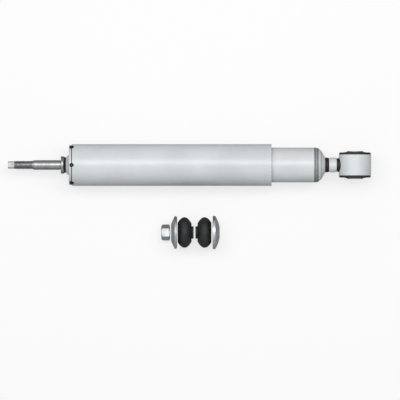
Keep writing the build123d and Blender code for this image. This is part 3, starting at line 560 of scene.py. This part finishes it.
# Neck and its two welds
neckSizes = sized(
    start=rodSpan("eye_weld")["end"], end=rodSpan("neck_weld")["start"], endR=7.75, bellyR=8.55,
    rootStart=18.8, rootEnd=34.2, rootR=4.5, rows=25, around=120,
)


def eyeNeck():
    # barrel: the radius swells from both ends to the belly as a parabola of the station; its two ends close
    # inside the ring and against the cup
    n = neckSizes
    stations = np.linspace(n.start, n.end, n.rows)
    t = (stations - n.start) / (n.end - n.start)
    belly = n.endR + (n.bellyR - n.endR) * 4 * t * (1 - t)
    outline = np.vstack([
        (n.rootStart, n.rootR), np.column_stack([stations, belly]), (n.rootEnd, n.rootR)])
    lathe("eyeNeckBarrel", "eye_neck", satinPlain, outline, n.around, closed=False)


neckWelds = {
    "eye_weld": sized(name="eyeWeldBead", station=21.45, neckR=7.5, crown=0.0, toe=None),
    "neck_weld": sized(name="neckWeldBead", station=29.7, neckR=7.75, crown=0.45, toe=34.35),
}
neckWeldSizes = sized(
    toeR=8.5, spread=1.6, rootR=6.0, intoRing=0.15, ripples=30, rippleDepth=0.22, rippleFade=0.6,
    toeShare=0.02, rows=15, around=360,
)


def neckWeld(node):
    # fillet round the neck: across the bead t goes from 0 at the neck to 1 at the toe, the radius grows by t
    # to the power of spread plus a crown of 4 t (1 - t), ripples stand on it, and the section closes through
    # the root. A toe without a station follows the eye ring: the root of its radius squared less Z squared
    w, bead = neckWeldSizes, neckWelds[node]
    angles = turns(w.around)
    t = shares(w.rows)
    radius = bead.neckR + (w.toeR - bead.neckR) * t ** w.spread + bead.crown * 4 * t * (1 - t)
    fade = np.sin(math.pi * np.clip(t, w.toeShare, 1 - w.toeShare)) ** w.rippleFade
    radius = radius + w.rippleDepth * (rippleHeight(angles, t, w.ripples) - 1) * fade
    if bead.toe is None:
        toe, rootToe = (np.sqrt(ringSizes.outerR ** 2 - (r * np.sin(angles)) ** 2) - w.intoRing
                        for r in (radius, w.rootR))
    else:
        toe = rootToe = np.full_like(angles, bead.toe)
    station = bead.station + (toe - bead.station) * t
    makeWeld(bead.name, node, weldScale, station, radius, w.rootR, angles, rootToe)


eyeNeck()
neckWeld("eye_weld")
neckWeld("neck_weld")
print("neck and welds made")

# Tube: bottom cup, seam and reservoir
cupSizes = sized(
    rodSpan("base_cup"), flatR=8.7, coneEnd=38.9, coneR=16.3, shoulder=42.0, skirtStart=42.6, skirtR=18.5,
    boreR=16.0, ledge=41.2, wellR=12.0, floor=37.3, floorR=9.0, axisR=0.01, flatBend=1.2, coneBend=1.0,
    shoulderBend=0.6, skirtBend=0.2, edge=0.3, floorBend=0.6, witness=(39.1, 0.32), steps=9, around=256
)
# the press leaves a dark witness line round the cup's shoulder
satinCup = satinEnamel("satinEnamelCup", jointShadeAndWitnessMarks=[cupSizes.witness])


def baseCup():
    # pressed bottom: flat, cone, rounded shoulder, and inside it the well and ledge of the foot valve
    c = cupSizes
    outline = roundedOutline([
        (c.start, c.axisR), (c.start, c.flatR, c.flatBend), (c.coneEnd, c.coneR, c.coneBend),
        (c.shoulder, c.outerR, c.shoulderBend), (c.skirtStart, c.skirtR, c.skirtBend),
        (c.end, c.skirtR, c.edge), (c.end, c.boreR, c.edge), (c.ledge, c.boreR, c.edge),
        (c.ledge, c.wellR, c.edge), (c.floor, c.floorR, c.floorBend),
        (c.floor, c.axisR)], closed=False, steps=c.steps)
    lathe("baseCupPressed", "base_cup", satinCup, outline, c.around, closed=False)


seamSizes = sized(
    rodSpan("base_seam_weld"), startR=cupSizes.outerR, endR=rodSpan("reservoir_tube")["outerR"], rootR=18.55,
    beads=4, crown=0.24, ripples=84, ripplePoints=8, rippleDepth=0.09, lean=0.5, beadShift=0.37, rows=57,
    brushed=(0.4, 0.95, 0.95, 0.4)
)
# the wire brush has bared the crests of the beads, those of the middle two more widely
laneWidth = (seamSizes.end - seamSizes.start) / seamSizes.beads
crests = [(seamSizes.start + laneWidth * (i + 0.5), width) for i, width in enumerate(seamSizes.brushed)]
brushedSeam = weldBead("wireBrushedSeamWeld", crests)


def seamWeld():
    # narrow beads side by side, each a low half circle along the axis, with fine ripples round it; t goes
    # from 0 to 1 across them all, and lane from 0 to 1 across each
    s = seamSizes
    angles = turns(s.ripples * s.ripplePoints)
    t = shares(s.rows)
    lane = (t * s.beads) % 1.0
    arch = np.sqrt(np.clip(1 - (2 * lane - 1) ** 2, 0, 1))
    shift = np.floor(t * s.beads) * s.beadShift
    ripple = s.rippleDepth * (rippleHeight(angles + shift, lane, s.ripples, s.lean) - 1)
    radius = s.startR + (s.endR - s.startR) * t + s.crown * arch + ripple * arch
    station = s.start + (s.end - s.start) * t + 0 * angles
    makeWeld("seamWeldBand", "base_seam_weld", brushedSeam, station, radius, s.rootR, angles)


tubeSizes = sized(
    rodSpan("reservoir_tube"), boreR=18.5, lipR=13.5, wall=1.5, rollIn=2.5, boreEdge=0.1, edge=0.3,
    lipEdge=0.4, rowGap=12, steps=9, around=256
)


def reservoirTube():
    # drawn tube, its far end rolled in over the closing washer
    r = tubeSizes
    inside = r.end - r.wall
    outline = roundedOutline([
        (r.start, r.boreR, r.boreEdge), (r.start, r.outerR, r.edge), (r.end, r.outerR, r.rollIn),
        (r.end, r.lipR, r.lipEdge), (inside, r.lipR, r.edge),
        (inside, r.boreR, r.lipEdge)], spacing=r.rowGap, steps=r.steps)
    lathe("reservoirTubeDrawn", "reservoir_tube", satinPlain, outline, r.around)


baseCup()
seamWeld()
reservoirTube()
print("tube made")

# Dust cover: tube, cap, weld spots, and the collar with its weld
coverSizes = sized(
    rodSpan("dust_cover_tube"), boreR=22.8, mouthEdge=0.45, mouthBoreEdge=0.35, endEdge=0.25, endBoreEdge=0.2,
    chipWidth=0.9, jointWidth=0.3, rowGap=10, around=288
)
# the mouth's edge is chipped; the end that meets the cap is painted darker grey, painted shade in the crevice
# of the joint
satinTube = satinEnamel("satinEnamelTube", [(coverSizes.start, coverSizes.chipWidth)],
                        [(coverSizes.end, coverSizes.jointWidth)])


def coverTube():
    # rolled tube, the edges of its mouth rounded more than those at the joint
    c = coverSizes
    outline = roundedOutline([
        (c.start, c.boreR, c.mouthBoreEdge), (c.start, c.outerR, c.mouthEdge), (c.end, c.outerR, c.endEdge),
        (c.end, c.boreR, c.endBoreEdge)], spacing=c.rowGap)
    lathe("coverTubeRolled", "dust_cover_tube", satinTube, outline, c.around)


capSizes = sized(
    rodSpan("dust_cover_cap"), skirtR=22.79, skirtBoreR=20.8, seat=324.9, groove=325.5, grooveR=22.5,
    lip=326.15, lipEnd=326.4, rimEnd=327.4, face=329.2, faceR=22.9, shoulderR=19.6, dish=328.5, dishR=16.4,
    coneR=11.8, coneEnd=331.1, coneEndR=10.4, top=333.1, topR=8.2, boreR=5.52, inside=327.2, insideR=10.5,
    underTop=330.8, underTopR=7.3, boreEdge=0.1, topEdge=0.5, coneBend=1.6, coneFoot=1.0, dishBend=2.2,
    shoulderBend=1.6, faceEdge=1.7, rimEdge=0.5, lipEdge=0.3, lipRoot=0.2, grooveEdge=0.1, skirtEdge=0.4,
    insideBend=1.2, insideEdge=0.8, underBend=0.6, joint=(326.1, 0.7), steps=9, around=288
)
# the cap's lip where it meets the tube is painted darker grey: painted shade in the crevice of the joint
satinCap = satinEnamel("satinEnamelCap", jointShadeAndWitnessMarks=[capSizes.joint])


def coverCap():
    # pressed cap: domed neck, shallow dish in the shoulder, rounded rim, joint groove, skirt inside the tube
    c = capSizes
    outline = roundedOutline([
        (c.top, c.boreR, c.boreEdge), (c.top, c.topR, c.topEdge), (c.coneEnd, c.coneEndR, c.coneBend),
        (c.face, c.coneR, c.coneFoot), (c.dish, c.dishR, c.dishBend), (c.face, c.shoulderR, c.shoulderBend),
        (c.face, c.faceR, c.faceEdge), (c.rimEnd, c.outerR, c.rimEdge), (c.lipEnd, c.outerR, c.lipEdge),
        (c.lip, c.grooveR, c.lipRoot), (c.groove, c.grooveR, c.grooveEdge), (c.seat, c.skirtR, c.grooveEdge),
        (c.start, c.skirtR, c.skirtEdge), (c.start, c.skirtBoreR, c.skirtEdge),
        (c.inside, c.skirtBoreR, c.insideBend), (c.inside, c.insideR, c.insideEdge),
        (c.underTop, c.underTopR, c.underBend), (c.underTop, c.boreR, c.boreEdge)], steps=c.steps)
    lathe("coverCapPressed", "dust_cover_cap", satinCap, outline, c.around)


spotSizes = sized(
    station=coverSizes.end, seatR=22.0, count=6, height=2.4, reach=2.65, base=0.9, power=0.5, crater=0.1,
    craterWidth=0.3, ring=0.02, ringWaves=14, ringEnd=0.7, wavers=[(3, 0.03, 1.7), (7, 0.02, 1.0)],
    besideLonger=1.25, besideProuder=0.35, firstFall=0.02, rows=30, around=64,
)


def weldSpots():
    # buttons on the joint of cap and tube: up = height * cos^power of the fall from the top, reach = half
    # width * sin^power, with a power below 1 that squares the shoulder. The reach wavers by waves of (number
    # round the spot, size, shift from spot to spot), and the top has fine rings round a small crater. The
    # four spots off the top and bottom are longer round the tube and stand prouder
    s = spotSizes
    shells = []
    turn = turns(s.around)
    last = math.acos((s.base / s.height) ** (1 / s.power))
    fall = np.linspace(s.firstFall, last, s.rows)[:, None]
    share = np.sin(fall) ** s.power
    ring = s.ring * np.cos(share * s.ringWaves) * (share < s.ringEnd)
    crater = s.crater * np.exp(-(share / s.craterWidth) ** 2)
    up = s.height * np.cos(fall) ** s.power - crater - s.ring + ring + 0 * turn
    for i in range(s.count):
        side = math.pi / 2 + i * 2 * math.pi / s.count
        longer, prouder = (s.besideLonger, s.besideProuder) if i % 3 != 0 else (1, 0)
        waver = 1 + sum(size * np.sin(waves * turn + shift * i) for waves, size, shift in s.wavers)
        reach = s.reach * share * waver
        along, around = reach * np.cos(turn), reach * np.sin(turn) * longer
        radial = s.seatR + up + prouder
        y = radial * math.cos(side) - around * math.sin(side)
        z = radial * math.sin(side) + around * math.cos(side)
        shells.append((np.stack([-(s.station + along), y, z], axis=-1), False))
    makePiece("coverWeldSpots", shells, "cover_weld_spots", [weldScale], sharpDegrees=60)


collarWeldSizes = sized(
    start=332.7, startDip=0.2, startR=8.3, end=333.9, climb=2.1, endR=8.9, climbR=1.22, rootR=5.8,
    climbPower=1.5, growPower=0.6, spread=0.8, crown=0.25, ripples=34, ripplePoints=10, rippleDepth=0.18,
    rows=19,
)


def collarWeld():
    # two stitches run into one ring: the toe on the collar climbs by a power of the sine of the turn, so the
    # bead is broad above and below and narrow at the sides; across it the radius grows by t to the power of
    # spread, plus a crown and ripples that fade out at both toes
    w = collarWeldSizes
    angles = turns(w.ripples * w.ripplePoints)
    t = shares(w.rows)
    climb = np.abs(np.sin(angles)) ** w.climbPower
    start = w.start - w.startDip * climb
    end = w.end + w.climb * climb
    endR = w.endR + w.climbR * climb ** w.growPower
    arch = 4 * t * (1 - t)
    ripple = w.rippleDepth * (rippleHeight(angles, t, w.ripples) - 1)
    radius = w.startR + (endR - w.startR) * t ** w.spread + w.crown * arch + ripple * arch ** 0.5
    station = start + (end - start) * t
    makeWeld("collarWeldBead", "collar_weld", weldScale, station, radius, w.rootR, angles)


# the collar starts inside its weld, nearer the cap than its CAD node does
collarSizes = sized(
    rodSpan("stop_collar"), start=333.7, startR=8.7, cone=335.1, boreR=5.52, startEdge=0.3, startBoreEdge=0.2,
    coneBend=0.9, edge=0.6, boreEdge=0.4, around=180
)


def stopCollar():
    # turned ring on the rod, coned towards its weld
    c = collarSizes
    outline = roundedOutline([
        (c.start, c.boreR, c.startBoreEdge), (c.start, c.startR, c.startEdge), (c.cone, c.outerR, c.coneBend),
        (c.end, c.outerR, c.edge), (c.end, c.boreR, c.boreEdge)])
    lathe("stopCollarTurned", "stop_collar", turnedBar, outline, c.around)


coverTube()
coverCap()
weldSpots()
collarWeld()
stopCollar()
print("cover and collar made")

# Rod with its stud; shankRows are from, to and how many, and tipRows lie so far past the thread's end
rodSizes = sized(
    rodSpan("piston_rod"), spigotR=4.0, spigotEdge=0.4, shoulder=rodSpan("piston_check_stop")["end"],
    step=0.01, bodyInset=1, bodyRows=40, face=collarSizes.end, undercutEnd=339.5, undercutR=5.2,
    undercutSlope=0.15, shankRows=(340, 369, 12), taperStart=369.4, taperEnd=370.0, threadStart=370.1,
    threadEdge=391.3, threadEnd=392.2, threadR=5.0, threadDepth=0.767, pitch=1.25, crestFlat=0.125,
    rootFlat=0.25, pitchRows=20, leadIn=0.2, runIn=2.2, runOut=0.1, tipR=4.1, tipRows=(0.02, 0.3, 6.1),
    chamfer=0.6, chamferEnd=0.1, chamferRows=9, faceEdge=0.3, flatHalf=2.8, around=128
)


def pistonRod():
    # one bar: the radius follows the turned outline; on the stud the thread's groove is cut into it, fading
    # in from the shank; past the thread two flats cut the radius, at flatHalf over the turn's sine
    r = rodSizes
    chamfer, chamferEnd = r.end - r.chamfer, r.end - r.chamferEnd
    outline = np.array([
        (r.start, r.spigotR - r.spigotEdge), (r.start + r.spigotEdge, r.spigotR),
        (r.shoulder, r.spigotR), (r.shoulder + r.step, r.outerR), (r.face, r.outerR),
        (r.face + r.undercutSlope, r.undercutR),
        (r.undercutEnd - r.undercutSlope, r.undercutR), (r.undercutEnd, r.outerR),
        (r.taperStart, r.outerR), (r.taperEnd, r.threadR), (r.threadEdge, r.threadR),
        (r.threadEnd, r.tipR), (chamfer, r.tipR), (chamferEnd, r.tipR - r.chamfer),
        (r.end, r.tipR - r.chamfer - r.faceEdge)])
    stations = np.unique(np.concatenate([
        outline[:, 0], np.arange(r.threadStart, r.threadEnd, r.pitch / r.pitchRows),
        np.linspace(r.shoulder + r.bodyInset, r.face - r.bodyInset, r.bodyRows),
        np.linspace(*r.shankRows), r.threadEnd + np.array(r.tipRows),
        np.linspace(chamfer, chamferEnd, r.chamferRows)]))
    angles = turns(r.around)
    s, radius = stations[:, None], np.interp(stations, *outline.T)[:, None] + 0 * angles
    groove = threadGroove(s, angles, r.pitch, r.crestFlat, r.rootFlat)
    fade = np.clip((s - r.threadStart - r.leadIn) / r.runIn, 0, 1)
    fade = fade * np.clip((r.threadEnd - s) / r.runOut, 0, 1)
    cut = np.minimum(radius, r.threadR - r.threadDepth * groove * fade)
    cut = np.maximum(cut, np.minimum(radius, r.threadR - r.threadDepth))
    radius = np.where((s > r.threadStart) & (s < r.threadEnd), cut, radius)
    flat = r.flatHalf / np.maximum(np.abs(np.sin(angles)), 1e-6)
    radius = np.where(s > r.threadEnd + r.step, np.minimum(radius, flat), radius)
    makePiece("rodAndStud", [(alongRod(s, radius, angles), False)], "piston_rod", [chromeRod, turnedBar],
              sharpDegrees=30, materialOfFace=lambda centres: centres[:, 0] < -r.face + r.step)


pistonRod()
print("rod made")

# Springs of the three valves
valveSprings = {
    "foot_check_spring": sized(joint="foot_check_lift", wireR=0.35, coils=2.0, rows=96),
    "piston_check_spring": sized(joint="piston_check_lift", wireR=0.35, coils=1.0, rows=64),
    "rebound_spring": sized(joint="rebound_valve_lift", wireR=0.7, coils=2.5, rows=120),
}
wireAround = 20


def valveSpring(name, node):
    # round wire on a helix: centre (station, R cos turn, R sin turn) with the station even in the turn; round
    # it the radial direction times cosine plus the direction square to wire and radius times sine
    k, span = valveSprings[node], rodSpan(node)
    start, end = span["start"] + k.wireR, span["end"] - k.wireR
    t = shares(k.rows)
    turn = 2 * math.pi * k.coils * t
    meanR = span["outerR"] - k.wireR
    lead = (end - start) / (2 * math.pi * k.coils)
    length = math.hypot(meanR, lead)
    a = turns(wireAround)
    radial, square = k.wireR * np.cos(a), k.wireR * np.sin(a)
    station = start + (end - start) * t + square * meanR / length
    y = (meanR + radial) * np.cos(turn) + square * lead / length * np.sin(turn)
    z = (meanR + radial) * np.sin(turn) - square * lead / length * np.cos(turn)
    piece = makePiece(name, [(np.stack([-station, y, z], axis=-1), False)], node, [springSteel])
    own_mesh(piece)


valveSpring("footCheckSpringCoil", "foot_check_spring")
valveSpring("pistonCheckSpringCoil", "piston_check_spring")
valveSpring("reboundSpringCoil", "rebound_spring")
print("valve springs made")

# Loose fitting parts of the stud, in one row, each lying on the floor on its own rim
kitSizes = sized(studR=5.6, washerR=19.2, washerThick=2.8, around=256)
kitY = np.mean(nodeSpan("inner_bush"), axis=0)[1]


def kitCentre(restR):  # axis of a loose piece that rests on this radius
    return kitY, floorZ + restR


innerWasherSizes = sized(
    depth=8.3, edge=0.5, holeEdge=0.4, holeBend=0.3, outerRim=[(0.25, 0.12), (0.7, 0.0)],
    innerRim=[(0.6, 0.0), (0.1, 0.15)], rows=40,
)


def innerCupWasher():
    # spherical dish: outer and inner face are arcs about one centre, their station the centre's less the root
    # of sphere radius squared minus radius squared; the rim is rounded in steps of (along, inwards)
    k, w = kitSizes, innerWasherSizes
    depth = w.depth - k.washerThick
    outer = (k.washerR ** 2 + depth ** 2) / (2 * depth)
    inner = outer - k.washerThick
    middle = rodSpan("inner_cup_washer")["start"] + math.sqrt(outer ** 2 - k.studR ** 2)
    r = np.linspace(k.studR + w.holeEdge, k.washerR - w.edge, w.rows)
    outerFace, innerFace = (np.column_stack([middle - np.sqrt(s ** 2 - r ** 2), r]) for s in (outer, inner))
    rim = [(outerFace[-1, 0] + along, k.washerR - inwards) for along, inwards in w.outerRim]
    rim += [(innerFace[-1, 0] - along, k.washerR - inwards) for along, inwards in w.innerRim]
    hole = [(innerFace[0, 0] - w.holeBend, k.studR), (outerFace[0, 0] + w.holeBend, k.studR)]
    outline = np.vstack([outerFace, rim, innerFace[::-1], hole])
    centre = kitCentre(k.washerR)
    lathe("innerCupWasherPressed", "inner_cup_washer", zincSteel, outline, k.around, centre=centre)


outerWasherSizes = sized(
    depth=7.0, flatR=10.0, outerBend=2.6, innerBend=2.0, edge=0.4, holeEdge=0.3, steps=12, rowGap=1.5,
)


def outerCupWasher():
    # flat middle and conical rim, both faces parallel, the bends rounded by the press
    k, w = kitSizes, outerWasherSizes
    thick = k.washerThick
    start, end = (rodSpan("outer_cup_washer")[side] for side in ("start", "end"))
    rise, run = w.depth - thick, k.washerR - w.flatR
    length = math.hypot(rise, run)
    rimShift, flatShift = thick * rise / length, thick * (length - run) / rise
    outline = roundedOutline([
        (end, k.studR, w.holeEdge), (end, w.flatR, w.outerBend), (start + thick, k.washerR, w.edge),
        (start, k.washerR - rimShift, w.edge), (end - thick, w.flatR - flatShift, w.innerBend),
        (end - thick, k.studR, w.holeEdge)], steps=w.steps, spacing=w.rowGap)
    centre = kitCentre(k.washerR)
    lathe("outerCupWasherPressed", "outer_cup_washer", zincSteel, outline, k.around, centre=centre)


studBushSizes = sized(
    outerR=17.7, length=18.4, faceR=11.3, shoulder=16.0, shoulderR=10.4, spigotR=7.1, crown=7.9, power=2.1,
    flash=0.1, flashWidth=0.18, spigotRoot=0.5, spigotEdge=0.4, endBoreEdge=0.3, faceBoreEdge=0.5, rows=81,
    steps=8, rowGap=3,
)


def studBush(name, node, flatFace, facing):
    # rubber bush: between flat face and shoulder the radius is the end's radius plus a rise times
    # 1 - |u|^power, u running from -1 to 1 with 0 at the crown, where the mould's parting line left flash
    k, b = kitSizes, studBushSizes
    along = np.linspace(0, b.shoulder, b.rows)[1:-1]
    past = along - b.crown
    u = np.where(past < 0, along / b.crown - 1, past / (b.shoulder - b.crown))
    endR = np.where(u < 0, b.faceR, b.shoulderR)
    flash = b.flash * np.exp(-(past / b.flashWidth) ** 2)
    bulge = endR + (b.outerR - b.flash - endR) * (1 - np.abs(u) ** b.power) + flash
    spigot = roundedOutline([
        (b.shoulder, b.shoulderR, 0), (b.shoulder, b.spigotR, b.spigotRoot),
        (b.length, b.spigotR, b.spigotEdge), (b.length, k.studR, b.endBoreEdge), (0, k.studR, b.faceBoreEdge),
        (0, b.faceR, 0)], closed=False, steps=b.steps, spacing=b.rowGap)
    outline = np.vstack([np.column_stack([along, bulge]), spigot[1:-1]])
    outline[:, 0] = flatFace + facing * outline[:, 0]
    lathe(name, node, blackRubber, outline, k.around, centre=kitCentre(b.outerR))


# outsideRows are from, to and how many; lip holds the corners of the rolled lip
nutSizes = sized(
    flatsR=8.0, height=10.0, faceR=7.6, chamfer=1.0, dome=3.3, domeShare=0.999, endR=6.9, past=0.05,
    outsideRows=[(0, 1.2, 14), (1.4, 6.5, 8), (6.7, 10.0, 26)], boreR=4.5, grooveR=5.0, pitch=1.25,
    crestFlat=0.25, rootFlat=0.15, pitchRows=16, sink=0.9, sinkR=5.4, recess=7.3, recessEnd=9.6, recessR=6.4,
    lipR=5.6, lip=[(10.0, 6.3), (10.0, 5.8), (9.85, 5.6)], around=360,
)


def lockNut():
    # hexagon: the radius is half the width across flats over the cosine of the turn to the nearest flat, held
    # inside a turned envelope; the bore carries rolled lip, recess, thread and countersink, from the end down
    n = nutSizes
    angles = turns(n.around)
    toFlat = (angles + math.pi / 6 - math.pi / 2) % (math.pi / 3) - math.pi / 6
    hexagon = n.flatsR / np.cos(toFlat)
    widest = n.flatsR / math.cos(math.pi / 6) + n.past
    s = np.concatenate([np.linspace(*rows) for rows in n.outsideRows])
    rising = n.faceR + (widest - n.faceR) * np.clip(s / n.chamfer, 0, 1)
    u = np.clip((s - (n.height - n.dome)) / n.dome, 0, 1)
    falling = n.endR + (widest - n.endR) * np.sqrt(1 - u ** 2 * n.domeShare)
    outside = np.minimum(np.minimum(rising, falling)[:, None], hexagon)
    lip = np.array([*n.lip, (n.recessEnd, n.lipR), (n.recessEnd, n.recessR),
                    (n.recess, n.recessR)])
    down = np.arange(n.recess, n.sink, -n.pitch / n.pitchRows)[:, None]
    groove = threadGroove(down, angles, n.pitch, n.crestFlat, n.rootFlat)
    thread = n.boreR + (n.grooveR - n.boreR) * groove
    sink = np.array([(n.sink, n.boreR), (0.0, n.sinkR)])
    stations = np.concatenate([s, lip[:, 0], down[:, 0], sink[:, 0]])[:, None]
    radii = np.vstack([outside, lip[:, 1:] + 0 * angles, thread, sink[:, 1:] + 0 * angles])
    rows = alongRod(rodSpan("lock_nut")["start"] + stations, radii, angles, kitCentre(n.flatsR))
    makePiece("lockNutForged", [(rows, True)], "lock_nut", [zincSteel], sharpDegrees=32)


insertSizes = sized(start=7.3, end=9.58, outerR=6.4, boreR=4.7, edge=0.2, bend=0.7, around=160)


def lockNutInsert():
    # nylon ring swaged into the nut's end, standing up to the rolled lip, its bore rounded at the open side
    n = insertSizes
    foot = rodSpan("lock_nut")["start"]
    low, high = foot + n.start, foot + n.end
    outline = roundedOutline([
        (low, n.boreR, n.edge), (low, n.outerR, n.edge), (high, n.outerR, n.edge), (high, n.boreR, n.bend)])
    centre = kitCentre(nutSizes.flatsR)
    lathe("lockNutInsertRing", "lock_nut_insert", blackNylon, outline, n.around, centre=centre)


innerCupWasher()
outerCupWasher()
studBush("innerStudBush", "inner_bush", rodSpan("inner_bush")["start"], 1)
studBush("outerStudBush", "outer_bush", rodSpan("outer_bush")["end"], -1)
lockNut()
lockNutInsert()
print("fitting parts made")

# Floor, light, background and camera; the floor's half and the softbox's box, height and shift are in
# metres, and a pixel of the photograph shows so many millimetres
floorSizes = sized(half=4.0, gap=0.1, rough=0.9, seen="#F6F6F6", mirrored="#A2A2A2", glow=0.72)
lightSizes = sized(
    box=(2.0, 0.5), height=1.15, shift=0.34, power=12.5, glossySky=2.0,
    sky={"From Min": -0.1, "From Max": 0.9, "To Min": 0.209, "To Max": 0.475},
)
cameraSizes = sized(pixel=1.151, frame=400, centre=(-178.4, -40.3), lens=1200.0, sensor=36.0, clip=3)


def makeFloor():
    # pale matt floor just under the absorber; the camera sees it nearly white, and mirrors see it darker
    f = floorSizes
    half, z = f.half, (floorZ - f.gap) * mm
    mesh = bpy.data.meshes.new("floor")
    corners = [(-half, -half, z), (half, -half, z), (half, half, z), (-half, half, z)]
    mesh.from_pydata(corners, [], [(0, 1, 2, 3)])
    floor = addObject("floor", mesh)
    material, tree, shader, _ = newMaterial("paleFloor", {"Roughness": f.rough})
    glow = addNode(tree, "Emission", {"Strength": 1.0})
    seen = addNode(tree, "LightPath", output="Is Camera Ray")
    dress(tree, shader, f.mirrored, [(seen, f.seen)])
    share = calculate(tree, "MULTIPLY", seen, f.glow)
    blend = addNode(tree, "MixShader", {}, {0: share, 1: shader.outputs[0], 2: glow})
    tree.links.new(blend, tree.nodes["Material Output"].inputs["Surface"])
    mesh.materials.append(material)


def makeLight():
    # a softbox beyond the absorber, tipped towards it, and a sky that brightens upwards, more so in gloss;
    # the camera itself sees white
    p, (x, y) = lightSizes, cameraSizes.centre
    lamp = bpy.data.lights.new("softbox", "AREA")
    lamp.shape = "RECTANGLE"
    lamp.size, lamp.size_y = p.box
    lamp.energy = p.power
    box = addObject("softbox", lamp)
    box.location = (x * mm, y * mm + p.shift, p.height)
    box.rotation_euler = (-math.atan2(p.shift, p.height), 0, 0)
    world = bpy.data.worlds.new("studio")
    scene.world = world
    world.use_nodes = True
    tree = world.node_tree
    background = tree.nodes["Background"]
    seen, through, glossy = (addNode(tree, "LightPath", output="Is " + ray + " Ray")
                             for ray in ("Camera", "Transmission", "Glossy"))
    place = addNode(tree, "TexCoord", output="Generated")
    up = addNode(tree, "SeparateXYZ", {}, {"Vector": place}, "Z")
    gloss = ramp(tree, glossy, {"To Min": 1.0, "To Max": p.glossySky})
    sky = calculate(tree, "MULTIPLY", ramp(tree, up, p.sky), gloss)
    white = calculate(tree, "MAXIMUM", seen, through)
    strength = addNode(tree, "Mix", {"data_type": "FLOAT", 3: 1.0}, {0: white, 2: sky})
    tree.links.new(strength, background.inputs["Strength"])
    background.inputs["Color"].default_value = (1, 1, 1, 1)


def makeCamera():
    # a long lens straight above, at the distance where the photograph's frame holds its pixels at their size
    c, (x, y) = cameraSizes, cameraSizes.centre
    camera = bpy.data.cameras.new("camera")
    camera.lens, camera.sensor_width = c.lens, c.sensor
    distance = c.pixel * c.frame * mm * c.lens / c.sensor
    camera.clip_end = c.clip * distance
    scene.camera = addObject("camera", camera)
    scene.camera.location = (x * mm, y * mm, distance)


makeFloor()
makeLight()
makeCamera()
scene.view_settings.view_transform = "Standard"
print("stage made")
